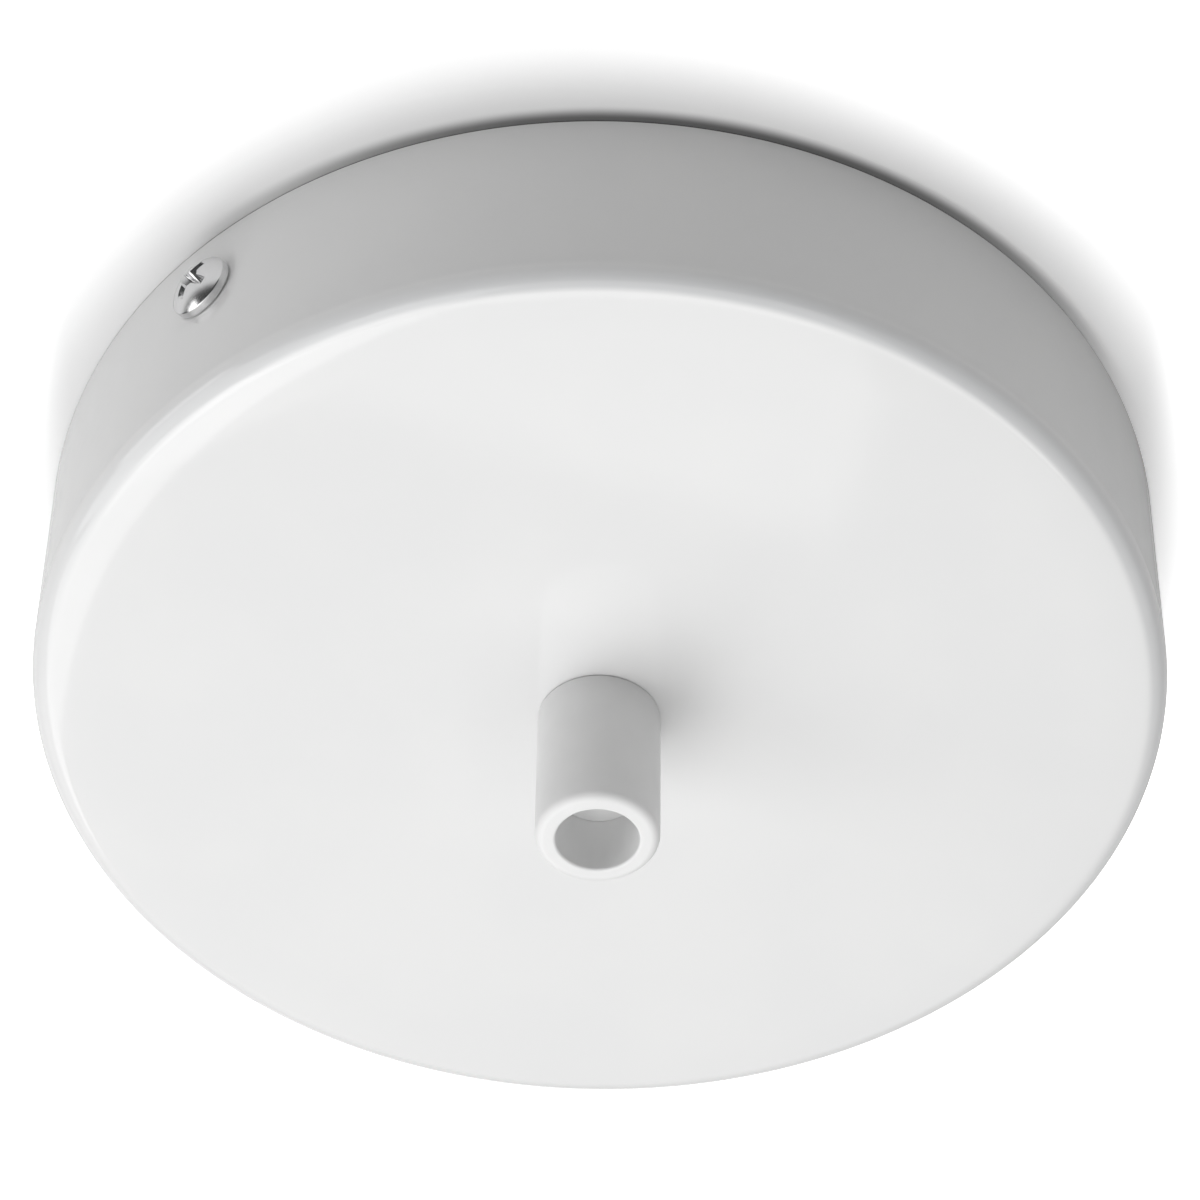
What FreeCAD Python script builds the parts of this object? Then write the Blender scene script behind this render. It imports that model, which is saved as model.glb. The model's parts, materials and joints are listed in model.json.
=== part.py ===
"""Electrical ceiling rose: a white steel canopy on a ceiling bracket, with a central cord grip.

The ceiling is the plane z = 0 and +Z points up into it, so the whole rose hangs below the origin.
The bracket runs along X. All sizes are millimetres.
"""

import FreeCAD
import Part

import math
import os

Vector = FreeCAD.Vector

# Canopy, a deep-drawn steel cup that is open towards the ceiling
CANOPY_DIAMETER = 120.0
CANOPY_HEIGHT = 25.0
CANOPY_WALL = 1.0
CANOPY_EDGE_RADIUS = 2.5
CENTRE_HOLE_CLEARANCE = 0.25
SIDE_HOLE_CLEARANCE = 0.25

# Ceiling bracket, a bent steel strip
BRACKET_WIDTH = 26.0
BRACKET_THICKNESS = 1.5
BRACKET_BEND_RADIUS = 1.5
SHOULDER_LENGTH = 5.0
TAB_WIDTH = 14.0
TAB_DROP = 14.0
TAB_CORNER_RADIUS = 3.0
TAB_CLEARANCE = 0.5
COLLAR_WALL = 0.9
COLLAR_LENGTH = 1.5
CEILING_SLOT_SPACING = 74.0
CEILING_SLOT_LENGTH = 20.0
CEILING_SLOT_WIDTH = 4.5
CABLE_HOLE_DIAMETER = 12.0
EARTH_LUG_OFFSET = 16.0
EARTH_LUG_WIDTH = 11.0
EARTH_LUG_DROP = 14.0

# Side screws, pan heads with a cross recess
SIDE_SCREW_DROP = 8.2
SIDE_SCREW_DIAMETER = 4.0
SIDE_SCREW_LENGTH = 8.0
SIDE_HEAD_DIAMETER = 7.2
SIDE_HEAD_HEIGHT = 2.3
SIDE_HEAD_RIM = 0.9
SIDE_RECESS_WIDTH = 4.8
SIDE_RECESS_DEPTH = 1.9
RECESS_TIP_WIDTH = 1.4
RECESS_BLADE = 1.0
SIDE_SCREW_CLOCKING = 47.0

# Threaded nipple with its nut and lock washer, which clamp the cord grip to the canopy
NIPPLE_THREAD_DIAMETER = 10.0
NIPPLE_BORE_DIAMETER = 8.0
NIPPLE_STANDOUT = 2.0
NIPPLE_CHAMFER = 0.4
NUT_ACROSS_FLATS = 14.0
NUT_HEIGHT = 3.5
LOCK_WASHER_DIAMETER = 18.0
LOCK_WASHER_THICKNESS = 0.8
LOCK_WASHER_TEETH = 14
LOCK_WASHER_TOOTH_DEPTH = 2.0
LOCK_WASHER_GAP = 1.6

# Cord grip: a moulded sleeve that screws onto the nipple and squeezes a split collet
GRIP_DIAMETER = 13.0
GRIP_LENGTH = 18.0
GRIP_EDGE_RADIUS = 1.0
GRIP_TOP_CHAMFER = 0.25
CORD_BORE_DIAMETER = 8.7
CORD_BORE_DEPTH = 7.0
CORD_BORE_EDGE_RADIUS = 0.3
SEAT_CONE_HEIGHT = 1.5
COLLET_LENGTH = 4.4
COLLET_HOLE_DIAMETER = 4.8
COLLET_FUNNEL = 1.2
COLLET_SLITS = 4
COLLET_SLIT_WIDTH = 0.5
COLLET_SLIT_LENGTH = 3.1

# Terminal block under the bracket, with brass barrels and clamping screws
POLE_COUNT = 3
POLE_PITCH = 10.0
BLOCK_OFFSET = 16.5
BLOCK_LENGTH = 16.0
BLOCK_HEIGHT = 12.5
BARREL_AXIS_HEIGHT = 4.4
BARREL_DIAMETER = 4.8
BARREL_INSET = 1.5
WIRE_BORE_DIAMETER = 3.0
WIRE_FUNNEL = 0.5
HOUSING_WALL = 0.8
TOWER_DIAMETER = 6.2
TOWER_INSET = 3.6
WEB_HEIGHT = 3.0
BLOCK_BOSS_DIAMETER = 5.6
BLOCK_BOSS_HEIGHT = 8.4
CLAMP_SCREW_DIAMETER = 2.6
CLAMP_HEAD_DIAMETER = 3.4
CLAMP_HEAD_HEIGHT = 1.6
CLAMP_SLOT_WIDTH = 0.6
CLAMP_SLOT_DEPTH = 0.8
CLAMP_HEAD_SINK = 1.0

# Block screws and the earth screw with its clamp washer
BLOCK_SCREW_DIAMETER = 3.0
BLOCK_HEAD_DIAMETER = 5.4
BLOCK_HEAD_HEIGHT = 2.0
BLOCK_HEAD_RIM = 0.7
BLOCK_RECESS_WIDTH = 3.4
BLOCK_RECESS_DEPTH = 1.4
BLOCK_SCREW_TIP_SINK = 0.2
EARTH_SCREW_DIAMETER = 4.0
EARTH_SCREW_LENGTH = 7.0
EARTH_SCREW_DROP = 8.5
EARTH_HEAD_DIAMETER = 7.0
EARTH_HEAD_HEIGHT = 2.6
EARTH_HEAD_RIM = 0.9
EARTH_RECESS_WIDTH = 4.6
EARTH_RECESS_DEPTH = 1.9
EARTH_WASHER_SIDE = 9.0
EARTH_WASHER_THICKNESS = 1.0

# Clearances between pieces, and what all the screws share
SCREW_TIP_CHAMFER = 0.5
THREAD_CLEARANCE = 0.06
SEAT_GAP = 0.05
COLLET_CLEARANCE = 0.1
HOLE_CLEARANCE = 0.15
CUT_MARGIN = 1.0

# Levels and radii that follow from the sizes above
CANOPY_RADIUS = CANOPY_DIAMETER / 2
CANOPY_INNER_RADIUS = CANOPY_RADIUS - CANOPY_WALL
FACE_Z = -CANOPY_HEIGHT
FLOOR_Z = FACE_Z + CANOPY_WALL
THREAD_RADIUS = NIPPLE_THREAD_DIAMETER / 2
NUT_BOTTOM_Z = FLOOR_Z + LOCK_WASHER_THICKNESS
NIPPLE_TOP_Z = NUT_BOTTOM_Z + NUT_HEIGHT + NIPPLE_STANDOUT
GRIP_TOP_Z = FACE_Z - SEAT_GAP
GRIP_END_Z = GRIP_TOP_Z - GRIP_LENGTH
SEAT_Z = GRIP_END_Z + CORD_BORE_DEPTH
COLLET_BOTTOM_Z = SEAT_Z + SEAT_GAP
COLLET_TOP_Z = COLLET_BOTTOM_Z + COLLET_LENGTH
NIPPLE_BOTTOM_Z = COLLET_TOP_Z + SEAT_GAP
BEND_OUTER_RADIUS = BRACKET_BEND_RADIUS + BRACKET_THICKNESS
TAB_FACE_X = math.sqrt(CANOPY_INNER_RADIUS**2 - (TAB_WIDTH / 2) ** 2) - TAB_CLEARANCE
LUG_FACE_Y = -(BRACKET_WIDTH / 2 + BEND_OUTER_RADIUS)
BLOCK_BASE_Z = -BRACKET_THICKNESS
TUBE_RADIUS = BARREL_DIAMETER / 2 + HOUSING_WALL
BARREL_LENGTH = BLOCK_LENGTH - 2 * BARREL_INSET
TOWER_OFFSET = BLOCK_LENGTH / 2 - TOWER_INSET
QUARTER = math.sqrt(0.5)


def outline(start, *steps):
    """A closed planar face. A step is an end point, or a pair of a point on an arc and its end point."""
    edges = []
    here = start
    for step in [*steps, start]:
        if isinstance(step, tuple):
            middle, end = step
            edges.append(Part.Arc(here, middle, end).toShape())
        else:
            end = step
            if (end - here).Length > 1e-9:
                edges.append(Part.LineSegment(here, end).toShape())
        here = end
    return Part.Face(Part.Wire(edges))


def at(radius, z):
    """A point of a section in the XZ plane."""
    return Vector(radius, 0, z)


def rounded(corner_centre, radius, across, up):
    """The middle of a quarter arc, on the side of its centre that across and up point to."""
    return corner_centre + Vector(across, 0, up) * (radius * QUARTER)


def turned(face):
    """A section turned about the Z axis."""
    return face.revolve(Vector(0, 0, 0), Vector(0, 0, 1), 360)


def drilled(radius, start, end):
    """A cylinder from start to end."""
    return Part.makeCylinder(radius, (end - start).Length, start, end - start)


def ring(inner, outer, low, high):
    """A plain ring about the Z axis."""
    return turned(outline(at(inner, low), at(outer, low), at(outer, high), at(inner, high)))


def fused(shapes):
    """One clean solid from several that overlap."""
    return shapes[0].multiFuse(shapes[1:]).removeSplitter()


def aimed(shape, base, direction):
    """A shape modelled along +Z, carried to base and aimed along direction."""
    moved = shape.copy()
    moved.Placement = FreeCAD.Placement(base, FreeCAD.Rotation(Vector(0, 0, 1), direction))
    return moved


def canopy():
    """The cup: flat face, rounded edge, straight wall, a centre hole and two side holes."""
    edge = CANOPY_EDGE_RADIUS
    inner_edge = edge - CANOPY_WALL
    corner = at(CANOPY_RADIUS - edge, FACE_Z + edge)
    hole = THREAD_RADIUS + CENTRE_HOLE_CLEARANCE
    shell = turned(
        outline(
            at(hole, FACE_Z),
            at(CANOPY_RADIUS - edge, FACE_Z),
            (rounded(corner, edge, 1, -1), at(CANOPY_RADIUS, FACE_Z + edge)),
            at(CANOPY_RADIUS, 0),
            at(CANOPY_INNER_RADIUS, 0),
            at(CANOPY_INNER_RADIUS, FACE_Z + edge),
            (rounded(corner, inner_edge, 1, -1), at(CANOPY_RADIUS - edge, FLOOR_Z)),
            at(hole, FLOOR_Z),
        )
    )
    reach = CANOPY_RADIUS + CUT_MARGIN
    side_holes = drilled(
        SIDE_SCREW_DIAMETER / 2 + SIDE_HOLE_CLEARANCE,
        Vector(-reach, 0, -SIDE_SCREW_DROP),
        Vector(reach, 0, -SIDE_SCREW_DROP),
    )
    return shell.cut(side_holes)


def bent_strip():
    """The strip with both ends bent down, as wide as the bracket all the way."""
    far, near = TAB_FACE_X, TAB_FACE_X - BRACKET_THICKNESS
    bend_x = TAB_FACE_X - BEND_OUTER_RADIUS
    right, left = at(bend_x, -BEND_OUTER_RADIUS), at(-bend_x, -BEND_OUTER_RADIUS)
    face = outline(
        at(-far, -TAB_DROP),
        at(-far, -BEND_OUTER_RADIUS),
        (rounded(left, BEND_OUTER_RADIUS, -1, 1), at(-bend_x, 0)),
        at(bend_x, 0),
        (rounded(right, BEND_OUTER_RADIUS, 1, 1), at(far, -BEND_OUTER_RADIUS)),
        at(far, -TAB_DROP),
        at(near, -TAB_DROP),
        at(near, -BEND_OUTER_RADIUS),
        (rounded(right, BRACKET_BEND_RADIUS, 1, 1), at(bend_x, -BRACKET_THICKNESS)),
        at(-bend_x, -BRACKET_THICKNESS),
        (rounded(left, BRACKET_BEND_RADIUS, -1, 1), at(-near, -BEND_OUTER_RADIUS)),
        at(-near, -TAB_DROP),
    )
    face.translate(Vector(0, -BRACKET_WIDTH / 2, 0))
    return face.extrude(Vector(0, BRACKET_WIDTH, 0))


def strip_plan():
    """The blank's plan: the full width, then shoulders that taper to the tabs."""
    half, tab = BRACKET_WIDTH / 2, TAB_WIDTH / 2
    neck_x = TAB_FACE_X - BEND_OUTER_RADIUS
    shoulder_x = neck_x - SHOULDER_LENGTH
    quarter = [(shoulder_x, half), (neck_x, tab), (TAB_FACE_X + CUT_MARGIN, tab)]
    corners = quarter + [(x, -y) for x, y in reversed(quarter)]
    corners += [(-x, -y) for x, y in quarter] + [(-x, y) for x, y in reversed(quarter)]
    low = -TAB_DROP - CUT_MARGIN
    face = outline(*[Vector(x, y, low) for x, y in corners])
    return face.extrude(Vector(0, 0, TAB_DROP + 2 * CUT_MARGIN))


def rounded_tab(half_width, drop, reach, across):
    """A prism that trims a hanging tab to a width with two rounded lower corners."""
    corner = min(TAB_CORNER_RADIUS, half_width)
    sides = [Vector(-half_width, 0, CUT_MARGIN), Vector(half_width, 0, CUT_MARGIN)]
    right = Vector(half_width - corner, 0, corner - drop)
    left = Vector(corner - half_width, 0, corner - drop)
    face = outline(
        sides[0],
        sides[1],
        Vector(half_width, 0, corner - drop),
        (rounded(right, corner, 1, -1), Vector(half_width - corner, 0, -drop)),
        Vector(corner - half_width, 0, -drop),
        (rounded(left, corner, -1, -1), Vector(-half_width, 0, corner - drop)),
    )
    face.translate(Vector(0, -reach, 0))
    prism = face.extrude(Vector(0, 2 * reach, 0))
    prism.rotate(Vector(0, 0, 0), Vector(0, 0, 1), across)
    return prism


def earth_lug():
    """A narrow lug bent down from the strip's long edge, for the earth screw."""
    outer, inner = BEND_OUTER_RADIUS, BRACKET_BEND_RADIUS
    edge_y = -BRACKET_WIDTH / 2
    bend = Vector(0, edge_y, -outer)

    def on_bend(radius):
        return bend + Vector(0, -1, 1) * (radius * QUARTER)

    face = outline(
        Vector(0, edge_y + CUT_MARGIN, 0),
        Vector(0, edge_y, 0),
        (on_bend(outer), Vector(0, LUG_FACE_Y, -outer)),
        Vector(0, LUG_FACE_Y, -EARTH_LUG_DROP),
        Vector(0, LUG_FACE_Y + BRACKET_THICKNESS, -EARTH_LUG_DROP),
        Vector(0, LUG_FACE_Y + BRACKET_THICKNESS, -outer),
        (on_bend(inner), Vector(0, edge_y, -BRACKET_THICKNESS)),
        Vector(0, edge_y + CUT_MARGIN, -BRACKET_THICKNESS),
    )
    face.translate(Vector(-EARTH_LUG_WIDTH / 2, 0, 0))
    lug = face.extrude(Vector(EARTH_LUG_WIDTH, 0, 0))
    lug = lug.common(rounded_tab(EARTH_LUG_WIDTH / 2, EARTH_LUG_DROP, BRACKET_WIDTH, 0))
    lug.translate(Vector(-EARTH_LUG_OFFSET, 0, 0))
    return lug


def ceiling_slot(x):
    """A slot along X for a ceiling screw, centred at x."""
    half = (CEILING_SLOT_LENGTH - CEILING_SLOT_WIDTH) / 2
    radius = CEILING_SLOT_WIDTH / 2
    low, high = -BRACKET_THICKNESS - CUT_MARGIN, CUT_MARGIN
    face = outline(
        Vector(x - half, -radius, low),
        Vector(x + half, -radius, low),
        (Vector(x + half + radius, 0, low), Vector(x + half, radius, low)),
        Vector(x - half, radius, low),
        (Vector(x - half - radius, 0, low), Vector(x - half, -radius, low)),
    )
    return face.extrude(Vector(0, 0, high - low))


def trimmed_strip():
    """The bent strip cut to its plan, with the lower corners of both tabs rounded."""
    flat_part = Part.makeBox(
        CANOPY_DIAMETER,
        BRACKET_WIDTH,
        BRACKET_THICKNESS + CUT_MARGIN,
        Vector(-CANOPY_RADIUS, -BRACKET_WIDTH / 2, -BRACKET_THICKNESS),
    )
    tabs = rounded_tab(TAB_WIDTH / 2, TAB_DROP, CANOPY_RADIUS, 90)
    return bent_strip().common(strip_plan()).common(flat_part.fuse(tabs))


def plunged_collar(diameter, face_point, inward):
    """A collar drawn through the sheet behind a tapped hole, and the cut that opens it."""
    sheet = inward * BRACKET_THICKNESS
    end = face_point + sheet + inward * COLLAR_LENGTH
    collar = drilled(diameter / 2 + COLLAR_WALL, face_point + sheet / 2, end)
    margin = inward * CUT_MARGIN
    return collar, drilled(diameter / 2, face_point - margin, end + margin)


def ceiling_bracket():
    """The bent strip with its tabs, plunged screw collars, ceiling slots, cable hole and earth lug."""
    earth_point = Vector(-EARTH_LUG_OFFSET, LUG_FACE_Y, -EARTH_SCREW_DROP)
    collars = [plunged_collar(EARTH_SCREW_DIAMETER, earth_point, Vector(0, 1, 0))]
    for side in (-1, 1):
        tab_point = Vector(side * TAB_FACE_X, 0, -SIDE_SCREW_DROP)
        collars.append(plunged_collar(SIDE_SCREW_DIAMETER, tab_point, Vector(-side, 0, 0)))
    body = fused([trimmed_strip(), earth_lug(), *[collar for collar, _ in collars]])
    above = Vector(0, 0, CUT_MARGIN)
    below = Vector(0, 0, -BRACKET_THICKNESS - CUT_MARGIN)
    cuts = [cut for _, cut in collars]
    cuts.append(drilled(CABLE_HOLE_DIAMETER / 2, above, below))
    cuts += [ceiling_slot(side * CEILING_SLOT_SPACING / 2) for side in (-1, 1)]
    for y in block_screw_lines():
        aside = Vector(BLOCK_OFFSET, y, 0)
        cuts.append(drilled(BLOCK_SCREW_DIAMETER / 2, above + aside, below + aside))
    return body.cut(cuts).removeSplitter()


def cross_recess(width, depth):
    """Two tapered blades and a centre cone, with the mouth at z = 0 and the tip below it."""
    mouth, tip = width / 2, RECESS_TIP_WIDTH / 2
    blade = outline(
        at(-mouth, CUT_MARGIN),
        at(mouth, CUT_MARGIN),
        at(mouth, 0),
        at(tip, -depth),
        at(-tip, -depth),
        at(-mouth, 0),
    )
    blade.translate(Vector(0, -RECESS_BLADE / 2, 0))
    first = blade.extrude(Vector(0, RECESS_BLADE, 0))
    second = first.copy()
    second.rotate(Vector(0, 0, 0), Vector(0, 0, 1), 90)
    cone = Part.makeCone(tip, RECESS_BLADE, depth, Vector(0, 0, -depth))
    return first.fuse([second, cone])


def pan_screw(head_diameter, head_height, head_rim, diameter, length, recess):
    """A pan-head screw along +Z: the head's seat at z = 0, its crown above and the shank below."""
    head, shank = head_diameter / 2, diameter / 2 - THREAD_CLEARANCE
    crown = head_height - head_rim
    sphere = (head**2 + crown**2) / (2 * crown)
    half_turn = math.asin(head / sphere) / 2
    on_crown = at(sphere * math.sin(half_turn), head_height - sphere * (1 - math.cos(half_turn)))
    tip = shank - SCREW_TIP_CHAMFER
    screw = turned(
        outline(
            at(0, -length),
            at(tip, -length),
            at(shank, -length + shank - tip),
            at(shank, 0),
            at(head, 0),
            at(head, head_rim),
            (on_crown, at(0, head_height)),
        )
    )
    recess.translate(Vector(0, 0, head_height))
    return screw.cut(recess)


def side_screw(side):
    """A side screw through the canopy's wall into a tab; side is -1 at the left and 1 at the right."""
    screw = pan_screw(
        SIDE_HEAD_DIAMETER,
        SIDE_HEAD_HEIGHT,
        SIDE_HEAD_RIM,
        SIDE_SCREW_DIAMETER,
        SIDE_SCREW_LENGTH,
        cross_recess(SIDE_RECESS_WIDTH, SIDE_RECESS_DEPTH),
    )
    screw.rotate(Vector(0, 0, 0), Vector(0, 0, 1), SIDE_SCREW_CLOCKING)
    seat = Vector(side * (CANOPY_RADIUS + SEAT_GAP), 0, -SIDE_SCREW_DROP)
    return aimed(screw, seat, Vector(side, 0, 0))


def threaded_nipple():
    """A hollow threaded tube from the collet up through the canopy and its nut."""
    crest = THREAD_RADIUS - THREAD_CLEARANCE
    bore = NIPPLE_BORE_DIAMETER / 2
    chamfer = min(NIPPLE_CHAMFER, (crest - bore) / 2)
    return turned(
        outline(
            at(bore, NIPPLE_BOTTOM_Z),
            at(crest - chamfer, NIPPLE_BOTTOM_Z),
            at(crest, NIPPLE_BOTTOM_Z + chamfer),
            at(crest, NIPPLE_TOP_Z - chamfer),
            at(crest - chamfer, NIPPLE_TOP_Z),
            at(bore, NIPPLE_TOP_Z),
        )
    )


def hexagon(across_flats, low, height):
    """A hexagonal prism about the Z axis."""
    corner = across_flats / math.sqrt(3)
    angles = [math.radians(60 * n) for n in range(6)]
    points = [Vector(corner * math.cos(a), corner * math.sin(a), low) for a in angles]
    return outline(*points).extrude(Vector(0, 0, height))


def nipple_nut():
    """A hexagon nut with its corners turned down on both faces."""
    top_z = NUT_BOTTOM_Z + NUT_HEIGHT
    flat = NUT_ACROSS_FLATS / 2
    corner = NUT_ACROSS_FLATS / math.sqrt(3)
    chamfer = (corner - flat) / math.sqrt(3)
    turned_blank = turned(
        outline(
            at(THREAD_RADIUS, NUT_BOTTOM_Z),
            at(flat, NUT_BOTTOM_Z),
            at(corner, NUT_BOTTOM_Z + chamfer),
            at(corner, top_z - chamfer),
            at(flat, top_z),
            at(THREAD_RADIUS, top_z),
        )
    )
    return hexagon(NUT_ACROSS_FLATS, NUT_BOTTOM_Z, NUT_HEIGHT).common(turned_blank)


def lock_washer():
    """A washer with teeth all round its outer edge."""
    outer = LOCK_WASHER_DIAMETER / 2
    root = outer - LOCK_WASHER_TOOTH_DEPTH
    washer = ring(THREAD_RADIUS + CENTRE_HOLE_CLEARANCE, outer, FLOOR_Z, NUT_BOTTOM_Z)
    gap = Part.makeBox(
        LOCK_WASHER_TOOTH_DEPTH + CUT_MARGIN,
        LOCK_WASHER_GAP,
        LOCK_WASHER_THICKNESS + 2 * CUT_MARGIN,
        Vector(root, -LOCK_WASHER_GAP / 2, FLOOR_Z - CUT_MARGIN),
    )
    gaps = []
    for tooth in range(LOCK_WASHER_TEETH):
        turned_gap = gap.copy()
        turned_gap.rotate(Vector(0, 0, 0), Vector(0, 0, 1), 360 * tooth / LOCK_WASHER_TEETH)
        gaps.append(turned_gap)
    return washer.cut(gaps)


def grip_sleeve():
    """The visible sleeve: cord bore at the bottom, a conical seat, and the thread bore above it."""
    outer, bore = GRIP_DIAMETER / 2, CORD_BORE_DIAMETER / 2
    edge, bore_edge = GRIP_EDGE_RADIUS, CORD_BORE_EDGE_RADIUS
    edge_centre = at(outer - edge, GRIP_END_Z + edge)
    bore_centre = at(bore + bore_edge, GRIP_END_Z + bore_edge)
    return turned(
        outline(
            at(THREAD_RADIUS, GRIP_TOP_Z),
            at(outer - GRIP_TOP_CHAMFER, GRIP_TOP_Z),
            at(outer, GRIP_TOP_Z - GRIP_TOP_CHAMFER),
            at(outer, GRIP_END_Z + edge),
            (rounded(edge_centre, edge, 1, -1), at(outer - edge, GRIP_END_Z)),
            at(bore + bore_edge, GRIP_END_Z),
            (rounded(bore_centre, bore_edge, -1, -1), at(bore, GRIP_END_Z + bore_edge)),
            at(bore, SEAT_Z),
            at(THREAD_RADIUS, SEAT_Z + SEAT_CONE_HEIGHT),
        )
    )


def grip_collet():
    """A split collet that sits on the sleeve's cone, with a funnel for the cord at its top."""
    hole = COLLET_HOLE_DIAMETER / 2
    foot = CORD_BORE_DIAMETER / 2 - COLLET_CLEARANCE / 2
    body = THREAD_RADIUS - COLLET_CLEARANCE
    shoulder_z = COLLET_BOTTOM_Z + SEAT_CONE_HEIGHT
    collet = turned(
        outline(
            at(hole, COLLET_BOTTOM_Z),
            at(foot, COLLET_BOTTOM_Z),
            at(body, shoulder_z),
            at(body, COLLET_TOP_Z),
            at(hole + COLLET_FUNNEL, COLLET_TOP_Z),
            at(hole, COLLET_TOP_Z - COLLET_FUNNEL),
        )
    )
    slit = Part.makeBox(
        THREAD_RADIUS,
        COLLET_SLIT_WIDTH,
        COLLET_SLIT_LENGTH + CUT_MARGIN,
        Vector(0, -COLLET_SLIT_WIDTH / 2, COLLET_BOTTOM_Z - CUT_MARGIN),
    )
    slits = []
    for number in range(COLLET_SLITS):
        turned_slit = slit.copy()
        turned_slit.rotate(Vector(0, 0, 0), Vector(0, 0, 1), 360 * number / COLLET_SLITS)
        slits.append(turned_slit)
    return collet.cut(slits)


def pole_lines():
    """Where the poles of the terminal block lie across the bracket."""
    return [(pole - (POLE_COUNT - 1) / 2) * POLE_PITCH for pole in range(POLE_COUNT)]


def block_screw_lines():
    """Where the block screws lie, midway between neighbouring poles."""
    poles = pole_lines()
    return [(a + b) / 2 for a, b in zip(poles, poles[1:])]


def block_point(along, across, height):
    """A point of the terminal block, with its height measured down from the bracket."""
    return Vector(BLOCK_OFFSET + along, across, BLOCK_BASE_Z - height)


def terminal_housing():
    """The moulded housing: a tube and two screw towers for each pole, joined by a web with screw bosses."""
    half = BLOCK_LENGTH / 2
    bore = BARREL_DIAMETER / 2 + THREAD_CLEARANCE
    tower_hole = CLAMP_HEAD_DIAMETER / 2 + HOLE_CLEARANCE
    poles = pole_lines()
    web_low = block_point(-TOWER_OFFSET, poles[0], WEB_HEIGHT)
    solids = [Part.makeBox(2 * TOWER_OFFSET, poles[-1] - poles[0], WEB_HEIGHT, web_low)]
    holes = []
    for y in poles:
        ends = [block_point(end, y, BARREL_AXIS_HEIGHT) for end in (-half, half)]
        solids.append(drilled(TUBE_RADIUS, *ends))
        foot = block_point(-half, y - TUBE_RADIUS, BARREL_AXIS_HEIGHT)
        solids.append(Part.makeBox(BLOCK_LENGTH, 2 * TUBE_RADIUS, BARREL_AXIS_HEIGHT, foot))
        holes.append(drilled(bore, *ends))
        for end, inward in ((ends[0], Vector(1, 0, 0)), (ends[1], Vector(-1, 0, 0))):
            holes.append(Part.makeCone(bore + WIRE_FUNNEL, bore, WIRE_FUNNEL, end, inward))
        for along in (-TOWER_OFFSET, TOWER_OFFSET):
            base, top = block_point(along, y, 0), block_point(along, y, BLOCK_HEIGHT)
            solids.append(drilled(TOWER_DIAMETER / 2, base, top))
            axis = block_point(along, y, BARREL_AXIS_HEIGHT)
            holes.append(drilled(tower_hole, axis, top - Vector(0, 0, CUT_MARGIN)))
    for y in block_screw_lines():
        base, top = block_point(0, y, 0), block_point(0, y, BLOCK_BOSS_HEIGHT)
        solids.append(drilled(BLOCK_BOSS_DIAMETER / 2, base, top))
        clear = BLOCK_SCREW_DIAMETER / 2 + HOLE_CLEARANCE
        margin = Vector(0, 0, CUT_MARGIN)
        holes.append(drilled(clear, base + margin, top - margin))
    return fused(solids).cut(holes).removeSplitter()


def terminal_barrel(y):
    """A brass tube along X with two threaded cross holes for the clamping screws."""
    half = BARREL_LENGTH / 2
    ends = [block_point(end, y, BARREL_AXIS_HEIGHT) for end in (-half, half)]
    margin = Vector(CUT_MARGIN, 0, 0)
    cuts = [drilled(WIRE_BORE_DIAMETER / 2, ends[0] - margin, ends[1] + margin)]
    for along in (-TOWER_OFFSET, TOWER_OFFSET):
        axis = block_point(along, y, BARREL_AXIS_HEIGHT)
        outside = block_point(along, y, BARREL_AXIS_HEIGHT + BARREL_DIAMETER)
        cuts.append(drilled(CLAMP_SCREW_DIAMETER / 2, axis, outside))
    return drilled(BARREL_DIAMETER / 2, *ends).cut(cuts)


def clamp_screw(along, y):
    """A slotted screw that stands in a tower, with its tip at the top of the wire bore."""
    head_top = BLOCK_HEIGHT - CLAMP_HEAD_SINK
    length = head_top - BARREL_AXIS_HEIGHT - WIRE_BORE_DIAMETER / 2
    head = CLAMP_HEAD_DIAMETER / 2
    shank = CLAMP_SCREW_DIAMETER / 2 - THREAD_CLEARANCE
    screw = turned(
        outline(
            at(0, -length),
            at(shank, -length),
            at(shank, -CLAMP_HEAD_HEIGHT),
            at(head, -CLAMP_HEAD_HEIGHT),
            at(head, 0),
            at(0, 0),
        )
    )
    slot = Part.makeBox(
        CLAMP_HEAD_DIAMETER + 2 * CUT_MARGIN,
        CLAMP_SLOT_WIDTH,
        CLAMP_SLOT_DEPTH + CUT_MARGIN,
        Vector(-head - CUT_MARGIN, -CLAMP_SLOT_WIDTH / 2, -CLAMP_SLOT_DEPTH),
    )
    return aimed(screw.cut(slot), block_point(along, y, head_top), Vector(0, 0, -1))


def block_screw(y):
    """A screw up through a boss of the block into the bracket, with its tip inside the strip."""
    screw = pan_screw(
        BLOCK_HEAD_DIAMETER,
        BLOCK_HEAD_HEIGHT,
        BLOCK_HEAD_RIM,
        BLOCK_SCREW_DIAMETER,
        BLOCK_BOSS_HEIGHT + BRACKET_THICKNESS - BLOCK_SCREW_TIP_SINK,
        cross_recess(BLOCK_RECESS_WIDTH, BLOCK_RECESS_DEPTH),
    )
    return aimed(screw, block_point(0, y, BLOCK_BOSS_HEIGHT), Vector(0, 0, -1))


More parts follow.
